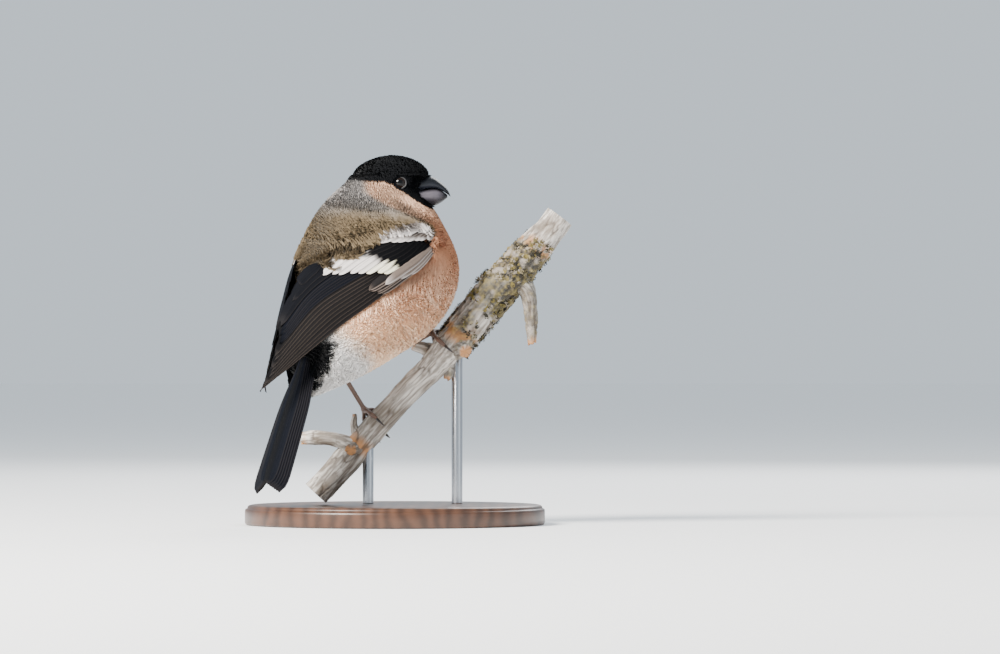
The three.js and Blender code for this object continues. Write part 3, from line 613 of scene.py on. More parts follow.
def vane_finish(name):
    """Dark glossy vane: the colour comes from the tint and fine barbs show as furrows."""
    material = plumage_finish(name, 0.55, 0.0, 0.04)
    nodes = material.node_tree.nodes
    links = material.node_tree.links
    bump = nodes.new("ShaderNodeBump")
    bump.inputs["Strength"].default_value = 0.6
    bump.inputs["Distance"].default_value = 0.00004
    links.new(barb_wave(material), bump.inputs["Height"])
    links.new(bump.outputs["Normal"], nodes["Principled BSDF"].inputs["Normal"])
    return material


vane_gloss = vane_finish("vane_gloss")


class Blades:
    """Gathers the blades of one piece."""

    def __init__(self):
        """Starts with no blade."""
        self.points, self.faces, self.tints, self.barbs, self.maps = [], [], [], [], []
        self.count = 0

    def add(self, top, under, share, tint, width, length):
        """Adds one blade, with its barbs and its own square of the map."""
        rows, columns = top.shape[:2]
        self.points += [top.reshape(-1, 3), under.reshape(-1, 3)]
        self.faces.append(closed_plate(rows, columns) + self.count)
        self.count += rows * columns * 2
        # Painted shade: the underside of each blade takes the tint of its top, darkened by a fifth.
        self.tints += [tint.reshape(-1, 3), tint.reshape(-1, 3) * 0.8]
        line = share[:, None] * length + np.abs(vane_cuts - shaft_at) * width * 1.4
        self.barbs += [line.ravel() * 2 * math.pi / barb_pitch] * 2
        across, along = np.broadcast_arrays(vane_cuts[None] * 0.9 + 0.05, share[:, None])
        self.maps.append(np.stack([across, along], -1).reshape(-1, 2))

    def piece(self, name, finish):
        """Makes one mesh of the blades, their squares of the map side by side in rows."""
        squares = math.ceil(math.sqrt(len(self.maps)))
        placed = []
        for number, spot in enumerate(self.maps):
            corner = np.array([number % squares, number // squares])
            placed += [(corner + 0.02 + spot * 0.96) / squares] * 2
        whole = make_mesh(name, np.vstack(self.points), np.vstack(self.faces), finish,
                          np.vstack(self.tints), np.vstack(placed))
        return barb_places(whole, np.concatenate(self.barbs))


jet = linear(9, 9, 11)
blue_jet = linear(8, 10, 17)
soot = linear(22, 20, 20)
pale_edge = linear(72, 63, 57)
dusk_grey = linear(104, 97, 93)
taupe = linear(142, 126, 116)
ash_white = linear(206, 199, 195)
bar_cream = linear(240, 233, 204)


def vane_tint(kind, share, rank, seed):
    """Colour over one vane, by its kind and its rank in the tier.

    y runs along the vane and x across it from its exposed edge.
    """
    y = share[:, None] + 0 * vane_cuts
    x = vane_cuts + 0 * share[:, None]
    streak = 0.06 * noise(np.stack([y * 2.5, x * 9, 0 * x + seed], -1), 1, 6)
    flat = 0 * y[..., None]
    if kind == "primary":
        colour = mixed(soot, jet, ease(x, 0.1, 0.5))
        edge_share = 1.0 if rank < 0.05 else 0.75
        colour = mixed(colour, pale_edge, edge_share * ease(-x, -0.05, -0.01) * ease(y, 0.2, 0.4))
        colour = mixed(colour, dusk_grey, 0.2 * ease(y, 0.97, 1))
    elif kind == "secondary":
        colour = mixed(blue_jet, jet, ease(x, 0.3, 0.6))
        colour = mixed(colour, dusk_grey, 0.1 * ease(-x, -0.05, -0.01))
    elif kind == "tertial":
        colour = mixed(jet, blue_jet, 0.5 + 0 * x)
        colour = mixed(colour, dusk_grey, 0.08 * ease(-x, -0.06, 0) + 0.08 * ease(y, 0.9, 1))
    elif kind == "greater":
        pale = mixed(bar_cream, ash_white, 0 * x + ease(rank, 0.35, 0.6))
        start = 0.74 - 0.27 * rank + 0.05 * np.abs(x - shaft_at)
        colour = mixed(jet + 0 * pale, pale, ease(y + 1.2 * streak, start, start + 0.1))
        colour = mixed(colour, dusk_grey, 0.08 * ease(-x, -0.06, 0) * (1 - ease(y, 0.6, 0.8)))
    elif kind == "median":
        paling = 0.8 * ease(y, 0.5, 0.8) + 0.15 * np.cos(x * 9)
        colour = mixed(dusk_grey + flat, ash_white, paling)
    elif kind == "alula":
        paling = 0.45 * ease(-x, -0.2, -0.03) + 0.4 * ease(y, 0.8, 1)
        colour = mixed(taupe * 0.55 + flat, ash_white, paling)
    else:
        paling = 0.7 * ease(-x, -0.2, -0.05) + 0.2 * ease(y, 0.9, 1)
        colour = mixed(soot * 1.5 + flat, taupe, paling)
    shaft = np.exp(-((x - shaft_at) / 0.03) ** 2)
    shafted = mixed(colour, colour * 0.5 + jet * 0.3, 0.7 * shaft)
    return np.clip(shafted * (1 + 2 * streak[..., None]), 0, 1)


# Each tier: kind, number, then as (s, t) the roots and the tips of its first and
# last vane, their widths, the heights of the exposed and the hidden edge over
# the wing, and how early the tips taper
wing_tiers = [
    ("primary", 9, [(0.13, -0.02), (0.17, 0.34)], [(1.03, -0.04), (0.87, 0.52)],
     (4.4, 5.4), 1.25, 0.45, 0.28),
    ("secondary", 6, [(0.17, 0.38), (0.17, 0.64)], [(0.83, 0.57), (0.79, 0.74)],
     (5.4, 6.0), 1.5, 0.5, 0.16),
    ("tertial", 3, [(0.17, 0.68), (0.46, 0.9)], [(0.77, 0.78), (0.60, 0.92)],
     (6.4, 5.6), 1.8, 0.7, 0.2),
    ("primary_covert", 5, [(0.06, -0.02), (0.09, 0.16)], [(0.43, -0.04), (0.45, 0.13)],
     (2.8, 3.4), 2.0, 1.2, 0.25),
    ("greater", 10, [(0.05, 0.16), (0.12, 0.90)], [(0.29, 0.05), (0.51, 0.74)],
     (4.2, 5.2), 2.2, 1.3, 0.2),
    ("alula", 3, [(0.03, -0.02), (0.05, 0.12)], [(0.24, -0.04), (0.38, 0.06)],
     (2.6, 3.4), 2.6, 1.9, 0.3),
    ("median", 8, [(0.0, 0.5), (0.05, 0.98)], [(0.05, 0.48), (0.25, 0.88)],
     (3.2, 4.2), 2.5, 1.9, 0.35),
]
primary_set_back = [0.07, 0.0, -0.01, -0.01, 0, 0, 0, 0, 0]


def along_tier(ends, rank):
    """A value of a tier between those of its first and its last vane."""
    return np.array(ends[0]) + (np.array(ends[1]) - np.array(ends[0])) * rank


for side_name, side in sides.items():
    gathered = Blades()
    for tier_number, (kind, count, roots, tips, widths, high, low, point) in enumerate(wing_tiers):
        for i in range(count):
            rank = i / (count - 1)
            seed = tier_number * 31 + i * 7 + side
            wobble = 0.006 * math.sin(seed * 12.9)
            root = along_tier(roots, rank)
            tip = along_tier(tips, rank) + (wobble, wobble)
            if kind == "primary":
                tip[0] -= primary_set_back[i]
            width = along_tier(widths, rank)
            line = root + (tip - root) * np.linspace(0, 1, vane_spots)[:, None]
            spots, along, across, outward = wing_frame(side, line[:, 0], line[:, 1])
            length = np.linalg.norm(np.diff(spots, axis=0), axis=1).sum() / mm
            top, under, share = blade(spots, across, outward, width, high, low, point, seed)
            gathered.add(top, under, share, vane_tint(kind, share, rank, seed), width, length)
    wing = gathered.piece(f"wing_vanes_{side_name}", vane_gloss)
    fitted(wing, "wing", f"wing_{side_name}")


# Tail
# Twelve glossy black tail feathers, the middle pair on top, spread a little
# and notched at the end. They are rooted together in the rump.
tail_lean = math.radians(21.6)
tail_swing = math.radians(3)
tail_length = 63.6
tail_start = 7.5
tail_rank = 6
tail_width = 9.0
tail_fork = 2.6
tail_layer = 0.2
tail_camber = 0.035
tail_top, tail_under = 0.2, 0.05


def tail_place(along, right, over):
    """Points of the tail from the distance along it, to its right and over it."""
    reach = along * math.cos(tail_swing) - right * math.sin(tail_swing)
    aside = right * math.cos(tail_swing) + along * math.sin(tail_swing)
    forward = tail_root[0] - reach * math.sin(tail_lean) - over * math.cos(tail_lean)
    up = tail_root[1] - reach * math.cos(tail_lean) + over * math.sin(tail_lean)
    return place(forward, aside, up)


gathered = Blades()
for rank in range(tail_rank):
    for side in sides.values():
        share = np.linspace(0, 1, vane_spots)
        length = tail_length - tail_fork + tail_fork * rank / (tail_rank - 1)
        along = tail_start + (length - tail_start) * share
        middle = side * (0.6 + 0.5 * rank + (1.3 + 0.72 * rank) * share ** 0.4)
        layer = -tail_layer * (2 * rank + (0 if side > 0 else 1))
        wide = tail_width * vane_outline(share, 0.13)
        offset = side * wide[:, None] * (0.5 - vane_cuts)
        aside = middle[:, None] + offset
        over = layer + cross_arch(0.15) + shaft_ridge(share, 0.16, 0.03, 0.6) - tail_camber * np.abs(aside)
        top = tail_place(along[:, None], aside, over + tail_top)
        under = tail_place(along[:, None], aside, over - tail_under)
        y = share[:, None] + 0 * vane_cuts
        x = vane_cuts + 0 * y
        tint = mixed(blue_jet, jet, ease(x, 0.3, 0.7))
        tint = mixed(tint, dusk_grey, 0.08 * ease(-x, -0.06, 0) + 0.08 * ease(y, 0.97, 1))
        if side > 0:
            top, under = top[:, ::-1], under[:, ::-1]
            tint = tint[:, ::-1]
        gathered.add(top, under, share, tint, tail_width, length)
tail = gathered.piece("tail_vanes", vane_gloss)
fitted(tail, "wing", "tail")


# Plumage of the body
# Soft contour feathers lie over the skin like shingles, from the bill back to
# the tail. Each is a thin curved vane with a frayed end, smallest round the
# bill and eyes and longest at the vent.
rng = np.random.default_rng(7)
bill_root = place(12.5, 0, 35.5)
tail_end = place(-62, 0, -88)
spine_spots = 5
tuft_patch = 0.003
soft_barb_pitch = 0.16
vane_stops = (0.0, 0.42, 0.82)
tooth_reach = 0.76

# A feather starts under the surface and rises to its end, as shares of the
# depth of the plumage, and its end is a little ruffled.
lift_at = [0, 0.25, 0.5, 0.75, 1]
lift_shares = [-0.35, 0.02, 0.34, 0.66, 1.0]
ruffle_height = 0.025
droop_share = 0.14
closest_rings = 0.35 * mm
ring_shift = 0.38


def soft_width(stop):
    """Width of a soft feather at a share of its length."""
    return 0.3 + 0.7 * math.sin(stop * math.pi / 2) ** 0.7


def soft_vane(columns, teeth):
    """The shape of one soft feather: a smooth rounded vane whose end is frayed into teeth.

    It gives places across and along it and its triangles.
    """
    q = np.linspace(-1, 1, columns)
    across = [0.5 * q * soft_width(stop) for stop in vane_stops]
    along = [(1 - 0.3 * q * q) * stop for stop in vane_stops]
    r, c = np.meshgrid(np.arange(len(vane_stops) - 1), np.arange(columns - 1), indexing="ij")
    a, b = (r * columns + c).ravel(), ((r + 1) * columns + c).ravel()
    faces = [np.stack([a, b, b + 1], -1), np.stack([a, b + 1, a + 1], -1)]
    middle = np.linspace(-1, 1, teeth) * (1 - 0.7 / teeth)
    half = 1.25 / teeth
    uneven = 0.045 * np.cos(np.arange(teeth) * 2.4)
    for part, reach in ((-half, tooth_reach), (0, 1 + uneven), (half, tooth_reach)):
        aside = np.clip(middle + part, -1, 1)
        across.append(0.5 * aside * (soft_width(0.8) if part else 1.02))
        along.append((1 - 0.3 * aside ** 2) * reach)
    tooth = len(vane_stops) * columns + np.arange(teeth)
    faces.append(np.stack([tooth, tooth + teeth, tooth + 2 * teeth], -1))
    return np.concatenate(across), np.concatenate(along), np.concatenate(faces)


def feather_length(points):
    """Length of the feathers at points of the model, in millimetres."""
    away = np.linalg.norm(points - bill_root, axis=-1) / mm
    return 1.5 + 1.9 * ease(away, 3, 15) + 4.2 * ease(away, 16, 46) + 2.4 * ease(away, 66, 104)


def lie(points, normals):
    """The way the plumage lies at points with these normals."""
    away = unit(points - bill_root)
    back = unit(tail_end - points)
    turn = ease(np.linalg.norm(points - bill_root, axis=-1) / mm, 10, 45)[:, None]
    way = away * (1 - 0.6 * turn) + back * 0.8 * turn
    return unit(way - normals * (way * normals).sum(-1, keepdims=True))


def laid(tree, roots, normals, lengths, stray):
    """Spines of feathers that start at roots and follow the surface of tree."""
    spine = [roots]
    ups = [normals]
    step = (lengths * mm / (spine_spots - 1))[:, None]
    for _ in range(spine_spots - 1):
        way = lie(spine[-1], ups[-1])
        way = unit(way + np.cross(ups[-1], way) * stray[:, None])
        ahead = spine[-1] + way * step
        found = [tree.find_nearest(Vector(spot)) for spot in ahead]
        spine.append(np.array([hit[0] for hit in found]))
        ups.append(unit(0.5 * ups[-1] + 0.5 * np.array([hit[1] for hit in found])))
    return np.stack(spine, 1), np.stack(ups, 1)


def coat(name, shape, spine, ups, widths, depth, tints, maps, finish):
    """One piece of soft feathers. depth is the height of the plumage over the surface, in millimetres."""
    across, along, faces = shape
    count = len(spine)
    slot = np.minimum((along * (spine_spots - 1)).astype(int), spine_spots - 2)
    part = (along * (spine_spots - 1) - slot)[None, :, None]
    spot = spine[:, slot] * (1 - part) + spine[:, slot + 1] * part
    up = unit(ups[:, slot] * (1 - part) + ups[:, slot + 1] * part)
    way = unit(spine[:, slot + 1] - spine[:, slot])
    aside = np.cross(up, way)
    lift = np.interp(along, lift_at, lift_shares)
    raised = depth[:, None] * lift * (0.95 + 0.1 * rng.random((count, 1)))
    droop = droop_share * widths[:, None] * across ** 2 * 4 * np.minimum(along * 3, 1)
    ruffle = ruffle_height * rng.standard_normal((count, len(across))) * ease(along, 0.8, 1)
    points = spot + aside * (across * widths[:, None])[..., None] * mm
    points = points + up * (raised - 0.5 * droop + ruffle)[..., None] * mm
    # Painted light: the roots are painted lighter, fading out by the middle of each feather, to offset the
    # shade that falls between the overlapping feathers. The end is a little lighter again.
    painted_root_light = 1.08 - 0.08 * ease(along, 0.05, 0.6) + 0.02 * ease(along, 0.8, 1)
    barb_tone = 1 + 0.02 * rng.standard_normal((count, 1)) + 0.03 * np.sin(across * 40)
    colours = np.clip(tints[:, None] * (painted_root_light * barb_tone)[..., None], 0, 1)
    patch = maps[:, None] + (np.stack([across, along - 0.5], -1) * tuft_patch)[None]
    numbered = (faces[None] + (np.arange(count) * len(across))[:, None, None]).reshape(-1, 3)
    whole = make_mesh(name, points.reshape(-1, 3), numbered, finish, colours.reshape(-1, 3),
                      patch.reshape(-1, 2))
    lean = 0.16 * (across * 2)[None, :, None] * aside
    whole.data.normals_split_custom_set_from_vertices(unit(up + lean).reshape(-1, 3).tolist())
    return barb_places(whole, across * widths[:, None] * 2 * math.pi / soft_barb_pitch + 5 * along)


# Scapulars and breast feathers close over the base of the wing, and small grey
# coverts below the scapulars do the same down to the second edge, so the coat
# climbs from the body on to the wing there. The left wing, on the far side, is
# held a little further out of the scapulars.
scapular_edge = {
    "s": [-0.1, 0.0, 0.07, 0.15, 0.22, 0.34, 0.38, 0.41, 0.44, 0.47],
    "t": [1.25, 1.18, 1.12, 1.02, 0.88, 0.7, 0.64, 0.72, 0.95, 1.6],
}
covert_edge = {
    "s": [-0.1, 0.0, 0.05, 0.1, 0.16, 0.21, 0.34, 0.38, 0.41, 0.44, 0.47],
    "t": [0.55, 0.58, 0.62, 0.7, 0.8, 0.86, 0.7, 0.64, 0.72, 0.95, 1.6],
}
far_cover_end = 0.42
climb_end = {"left": 0.38, "right": 0.44}
climb_fade = 0.08
climb_rounds = 60
wrist_cover = 0.03

# A thin sheet floats over each wing at the height the coat climbs to.
sheet_rows, sheet_columns = 80, 24
sheet_height, wrist_rise = 2.6, 0.5
s_steps, t_steps = np.linspace(0, 1, sheet_rows), np.linspace(0, 1, sheet_columns)
sheet_s, sheet_t = np.meshgrid(s_steps, t_steps, indexing="ij")
sheet_faces = grid_faces(sheet_rows, sheet_columns, False)
sheet_trees = {}
for side_name, side in sides.items():
    spots, along, across, outward = wing_frame(side, sheet_s, sheet_t)
    raised = sheet_height + wrist_rise * (1 - ease(sheet_s, 0.18, 0.3))
    sheet = spots + outward * raised[..., None] * mm
    sheet_trees[side_name] = BVHTree.FromPolygons(sheet.reshape(-1, 3).tolist(), sheet_faces.tolist())


def wing_spot(index):
    """The place on the wing, as (s, t), of a face of the sheet over it."""
    corner = sheet_faces[index][0]
    return sheet_s.flat[corner], sheet_t.flat[corner]


def covered(side_name, s, t):
    """Whether a place of the wing lies under scapulars, small coverts or breast feathers."""
    if side_name == "left" and s > far_cover_end:
        return False
    return (t > np.interp(s, covert_edge["s"], covert_edge["t"])) | (s < wrist_cover)


climb = np.zeros((skin_rows, skin_sides))
for i, k in np.ndindex(skin_rows, skin_sides):
    for side_name, tree in sheet_trees.items():
        hit, normal, index, distance = tree.ray_cast(Vector(starts[i]), Vector(directions[i, k]))
        if hit is not None:
            s, t = wing_spot(index)
            share = 1 if covered(side_name, s, t) else ease(t, 0.35, 0.6)
            last = climb_end[side_name]
            share = share * (1 - ease(s, last, last + climb_fade))
            climb[i, k] = max(climb[i, k], share * (distance - outer[i, k]))
climbed = climb.copy()
for _ in range(climb_rounds):
    climb = np.maximum(climbed, softened(climb, 1))
climb = softened(climb, 3) * ease(bird_axes(skin_grid)[2], -17, -6)
coat_grid = skin_grid + directions * climb[..., None]
around_body = (np.roll(coat_grid, -1, 1) - np.roll(coat_grid, 1, 1)) / 2
ring_normals = unit(np.cross(np.gradient(coat_grid, axis=0), around_body))
if ((ring_normals * directions).sum(-1)).mean() < 0:
    ring_normals = -ring_normals


def scattered(first_row, last_row, spacing_share):
    """Roots spread over rows of the skin, their density set by the length of feather there."""
    rows, angles = [], []
    row = float(first_row)
    offset = 0.0
    while row < last_row:
        ring = coat_grid[int(row)]
        spacing = spacing_share * feather_length(ring) * mm
        step = max(spacing.min(), closest_rings)
        gap = np.linalg.norm(coat_grid[min(int(row) + 1, skin_rows - 1)] - ring, axis=1)
        reach = np.linalg.norm(np.roll(ring, -1, 0) - ring, axis=1)
        share = np.concatenate([[0], np.cumsum(reach * step / spacing ** 2)])
        number = int(share[-1])
        offset += ring_shift
        if number:
            spread = (np.arange(number) + offset % 1 + 0.45 * (rng.random(number) - 0.5)) % number
            angle = np.interp(spread * share[-1] / number, share, np.arange(skin_sides + 1))
            angles.append(angle % skin_sides)
            rows.append(np.full(number, row) + 0.9 * (rng.random(number) - 0.5) * step / gap.mean())
        row += step / gap.mean()
    return np.clip(np.concatenate(rows), 0, skin_rows - 1.001), np.concatenate(angles)


def on_skin(grid, rows, angles):
    """Values of a grid of the skin at rows and angles between its points."""
    i = rows.astype(int)
    k = angles.astype(int)
    di = (rows - i)[:, None]
    dk = (angles - k)[:, None]
    beside = (k + 1) % skin_sides
    return ((grid[i, k] * (1 - dk) + grid[i, beside] * dk) * (1 - di)
            + (grid[i + 1, k] * (1 - dk) + grid[i + 1, beside] * dk) * di)


# A feather counts as one of the wing when it is near the sheet and not beside
# it. It lies on the open wing when it is less deep under the sheet than the
# cover there, which is thin along the leading edge.
bird_core = place(-8, 0, 0)
wing_zone = 9 * mm
sheet_overhang = 0.5 * mm
full_cover, thin_cover = 2.6 * mm, 1.4 * mm
leading_strip = 0.12
eye_bare = 3.6 * mm
bill_bare = 0.5 * mm


def bare_wing(points):
    """Which points lie on the open part of a folded wing and which lie deep beneath it.

    It also gives how far down among the small grey coverts they lie.
    """
    on_top = np.zeros(len(points), bool)
    beneath = np.zeros(len(points), bool)
    greyness = np.zeros(len(points))
    for side_name, tree in sheet_trees.items():
        for number, point in enumerate(points):
            hit, normal, index, distance = tree.find_nearest(Vector(point))
            away = Vector(point) - hit
            height = away.dot(normal) * (1 if normal.dot(hit - Vector(bird_core)) > 0 else -1)
            if distance > wing_zone or (away.length_squared - height ** 2) > sheet_overhang ** 2:
                continue
            s, t = wing_spot(index)
            open_there = not covered(side_name, s, t)
            on_top[number] |= open_there and height > -(full_cover if t > leading_strip else thin_cover)
            inside = leading_strip < t < 1 - leading_strip
            beneath[number] |= open_there and height <= -thin_cover and inside
            upper = np.interp(s, scapular_edge["s"], scapular_edge["t"])
            lower = np.interp(s, covert_edge["s"], covert_edge["t"])
            if upper - lower > 0.03 and height > -thin_cover and t > 0.4:
                greyness[number] = max(greyness[number], np.clip((upper - t) / (upper - lower), 0, 1))
    return on_top, beneath, greyness


coat_points = np.vstack([coat_grid.reshape(-1, 3), coat_grid[0].mean(0), coat_grid[-1].mean(0)])
coat_faces = [face.tolist() for group in skin_faces for face in group]
drape = BVHTree.FromPolygons(coat_points.tolist(), coat_faces)

# Each part: name, first and last row of skin, spacing as a share of the length
# of a feather, its shape, its width as a share of its length, slot and nodes
coat_parts = [
    ("plumage_head", 1, 43, 0.15, soft_vane(4, 9), 0.7, "cap", ("head",)),
    ("plumage_neck", 43, 61, 0.142, soft_vane(4, 11), 0.6, "nape", ("neck",)),
    ("plumage_chest_high", 61, 73, 0.092, soft_vane(5, 13), 0.52, "mantle", ("torso",)),
    ("plumage_chest_low", 73, 88, 0.096, soft_vane(5, 13), 0.52, "mantle", ("torso",)),
    ("plumage_belly", 87, 133, 0.1, soft_vane(5, 13), 0.48, "belly", ("belly", "rump")),
]
for name, first_row, last_row, spacing_share, form, width_share, slot, nodes in coat_parts:
    rows, angles = scattered(first_row, last_row, spacing_share)
    roots = on_skin(coat_grid, rows, angles)
    on_top, beneath, greyness = bare_wing(roots)
    kept = ~on_top & ~beneath
    for number, root in enumerate(roots):
        root = Vector(root)
        kept[number] &= min((root - eye).length for eye in eye_centres) > eye_bare
        kept[number] &= bill_tree.find_nearest(root)[3] > bill_bare
    rows, angles, roots = rows[kept], angles[kept], roots[kept]
    normals = unit(on_skin(ring_normals, rows, angles))
    lengths = feather_length(roots) * (0.9 + 0.25 * rng.random(len(roots)))
    spine, ups = laid(drape, roots, normals, lengths, 0.12 * rng.standard_normal(len(roots)))
    on_top, beneath, greyness = bare_wing(spine[:, -1])
    kept = ~on_top
    rows, angles, lengths, spine, ups = rows[kept], angles[kept], lengths[kept], spine[kept], ups[kept]
    greyness = greyness[kept] * (0.85 + 0.3 * rng.random(len(spine)))
    depth = np.interp(rows, [20, 60], [0.36, 0.55])
    places = np.stack([angles / skin_sides, 1 - (rows + 0.5) / skin_rows], -1)
    tints = markings(spine[:, 2])
    covert_tints = mixed(dusk_grey, ash_white, ease(greyness, 0.35, 0.95))
    tints = mixed(tints, covert_tints, ease(greyness, 0.1, 0.4))
    tints = tints * (1 + 0.018 * rng.standard_normal((len(tints), 1)))
    part = coat(name, form, spine, ups, lengths * width_share, depth, tints, places, soft_plumage)
    fitted(part, slot, *nodes)


# Eyes and lids
# Dark brown glossy eyes sit in a thin ring of bare beaded lid. The eye is a
# ball with a slight bulge in front, and the lid a thin ring laid round it.
eye_radius = 3.0
eye_place = (8.2, 7.7, 36.2)
eye_bulge = 0.03
lid_radius, lid_height, lid_thickness = 2.36, 1.86, 0.36
lid_beads = 26
ball_rows, ball_columns = 40, 56
lid_rows, lid_columns = 96, 12
pupil_black = linear(3, 3, 4)
iris_brown = linear(22, 13, 9)
lid_grey = linear(44, 42, 44)


def gloss_finish(name, roughness, varnish=0.0, gloss=0.5):
    """A smooth finish whose colour comes from the tint."""
    material = plumage_finish(name, roughness, 0.0, gloss)
    material.node_tree.nodes["Principled BSDF"].inputs["Coat Weight"].default_value = varnish
    return material


def round_piece(name, grid, tint, finish, tip=None, tip_tint=None):
    """A piece from a grid of rings, closed by one point more at each end."""
    rows, columns = grid.shape[:2]
    points = np.vstack([grid.reshape(-1, 3), grid[0].mean(0), grid[-1].mean(0) if tip is None else tip])
    colours = np.vstack([tint.reshape(-1, 3), tint[0, 0], tint[-1, 0] if tip_tint is None else tip_tint])
    faces = [grid_faces(rows, columns, True), end_caps(rows, columns)]
    return make_mesh(name, points, faces, finish, colours)


def eye_axes(side):
    """The centre of an eye, the way out of it and two directions square to that."""
    forward, right, up = eye_place
    centre = place(forward, side * right, up)
    outward = unit(place(forward, side * (right + 1), up) - centre)
    sideways = unit(np.cross(outward, (0, 0, 1)))
    return centre, outward, sideways, np.cross(sideways, outward)


def over_eye(axes, rise, reach, turn):
    """Points from how far they rise along the axis of an eye, in millimetres, and reach out from it."""
    centre, outward, first, second = axes
    level = first * (reach * np.cos(turn) * mm)[..., None] + second * (reach * np.sin(turn) * mm)[..., None]
    return centre + outward * (rise * mm)[..., None] + level


eye_wet = gloss_finish("eye_wet", 0.06, gloss=0.22)
lid_skin = gloss_finish("lid_skin", 0.5)
for side_name, side in sides.items():
    axes = eye_axes(side)
    lean = np.linspace(0.03, math.pi - 0.03, ball_rows)[:, None]
    turn = around(ball_columns)[None]
    radius = eye_radius * (1 + eye_bulge * np.exp(-(lean / 0.45) ** 2))
    ball = over_eye(axes, radius * np.cos(lean), radius * np.sin(lean), turn)
    iris = ease(lean, 0.40, 0.46) * (1 - ease(lean, 0.78, 0.86)) + 0 * turn
    eyeball = round_piece(f"eyeball_{side_name}", ball, mixed(pupil_black, iris_brown, iris), eye_wet)
    fitted(eyeball, "eye", f"eye_{side_name}")

    turn = around(lid_rows)[:, None]
    tube = around(lid_columns)[None]
    bead = lid_thickness * (1 + 0.12 * np.sin(turn * lid_beads) * np.cos(tube) ** 2)
    reach = lid_radius + bead * np.cos(tube) + 0.1 * np.cos(2 * turn)
    ring = over_eye(axes, lid_height + bead * np.sin(tube), reach, turn)
    tint = lid_grey * (0.8 + 0.2 * np.cos(tube)[..., None]) + 0 * ring
    faces = grid_faces(lid_rows + 1, lid_columns, True) % (lid_rows * lid_columns)
    lids = make_mesh(f"lids_{side_name}", ring.reshape(-1, 3), faces, lid_skin, tint.reshape(-1, 3))
    fitted(lids, "cap", "head")


# Bill
# A short swollen bill of dark horn in two parts, with the curved mouth line
# between them. Its base is covered by small bristly feathers that point
# forwards over the nostrils.
bill_rows, bill_columns = 72, 48
mouth_height = 33.6
bristle_count = 560
bristle_width, bristle_depth = 1.3, 0.2

# Stations of each half: forward, top, bottom and half width
upper_bill = [(13, 38.4, 33.4, 4.3), (17, 39.2, 33.6, 4.7), (20, 39.2, 34.0, 4.6),
              (22.4, 38.2, 34.1, 4.1), (24.6, 36.5, 33.4, 3.3), (26.4, 34.8, 32.4, 2.3),
              (27.6, 32.9, 31.5, 1.2), (28.2, 31.4, 30.9, 0.3)]
lower_bill = [(13, 33.5, 28.8, 4.1), (17, 33.7, 28.0, 4.6), (20, 34.1, 27.5, 4.6),
              (22.4, 34.2, 27.6, 4.1), (24.4, 33.5, 28.6, 3.2), (26, 32.5, 29.8, 2.0),
              (27.0, 31.7, 30.6, 0.5)]
horn_dark = linear(12, 13, 17)
horn_grey = linear(30, 33, 41)
horn_pale = linear(84, 79, 86)


def bill_half(stations, edge):
    """Grid of one half of the bill, with its heights from -1 to 1 and the share along it.

    edge is 1 where its upper side is the full one, -1 where its lower side is.
    """
    share = np.linspace(0, 1, bill_rows)
    forward, top, bottom, half_width = smooth_line(stations, share).T[..., None]
    angle = around(bill_columns)[None]
    rise = np.sin(angle)
    height = np.sign(rise) * np.abs(rise) ** np.where(rise * edge > 0, 0.5, 1.0)
    right = half_width * np.cos(angle) * (1 - 0.12 * np.maximum(-rise * edge, 0))
    up = (top + bottom) / 2 + (top - bottom) / 2 * height
    return place(forward, right, up), height, share[:, None] + 0 * angle


def over_bill(forward, angle, lift):
    """Points over the closed bill: round it from its left side over the top, and clear of it by lift."""
    upper, lower = np.array(upper_bill), np.array(lower_bill)
    top = np.interp(forward, upper[:, 0], upper[:, 1])
    wide = np.interp(forward, upper[:, 0], upper[:, 3])
    bottom = np.interp(forward, lower[:, 0], lower[:, 2])
    rise = np.sin(angle)
    reach = np.where(rise > 0, top - mouth_height + lift, mouth_height - bottom + lift)
    height = reach * np.sign(rise) * np.abs(rise) ** 0.8
    return place(forward, (wide + lift) * np.cos(angle), mouth_height + height)


horn = gloss_finish("bill_horn", 0.4, gloss=0.2)
for name, slot, stations, edge in (("upper", "bill", upper_bill, -1), ("lower", "bill_pale", lower_bill, 1)):
    grid, height, share = bill_half(stations, edge)
    if name == "upper":
        tint = mixed(horn_dark, horn_grey, ease(-height, -0.5, 0.9) * (1 - ease(share, 0.55, 0.95)))
    else:
        tint = mixed(horn_dark, horn_pale, (1 - ease(share, 0.5, 0.9)) * ease(height, -1.1, 0.1))
        tint = mixed(tint, horn_dark, 0.85 * ease(height, 0.5, 0.95))
    streak = noise(grid * np.array([0.35, 1, 1]), 0.9 * mm, 8)
    half_bill = round_piece(f"bill_horn_{name}", grid, tint * (1 + 0.12 * streak[..., None]), horn)
    fitted(half_bill, slot, f"bill_{name}")

# The bristly feathers start on the face and end over the base of the bill,
# farthest forward above and least at the sides.
angle = rng.uniform(0, 2 * math.pi, bristle_count)
border = np.interp(np.abs(np.sin(angle)), [0, 0.6, 1], [16.4, 17.4, 21.2]) + 1.4 * (np.sin(angle) < -0.5)
long = rng.uniform(2.2, 3.4, bristle_count)
start = border - long - rng.uniform(0, 2.4, bristle_count) ** 1.1
steps = np.linspace(0, 1, spine_spots)
spine = np.stack([over_bill(start + long * step, angle, 0.15 + 0.35 * step) for step in steps], 1)
ups = unit(spine - place(start[:, None] + long[:, None] * steps, 0, 34))
places = np.stack([0.02 + 0.01 * rng.random(bristle_count), 0.80 + 0.02 * rng.random(bristle_count)], -1)
widths = np.full(bristle_count, bristle_width)
depths = np.full(bristle_count, bristle_depth)
tints = np.repeat(cap_black[None], bristle_count, 0)
bristles = coat("bill_bristles", soft_vane(3, 5), spine, ups, widths, depths, tints, places, soft_plumage)
fitted(bristles, "cap", "head")


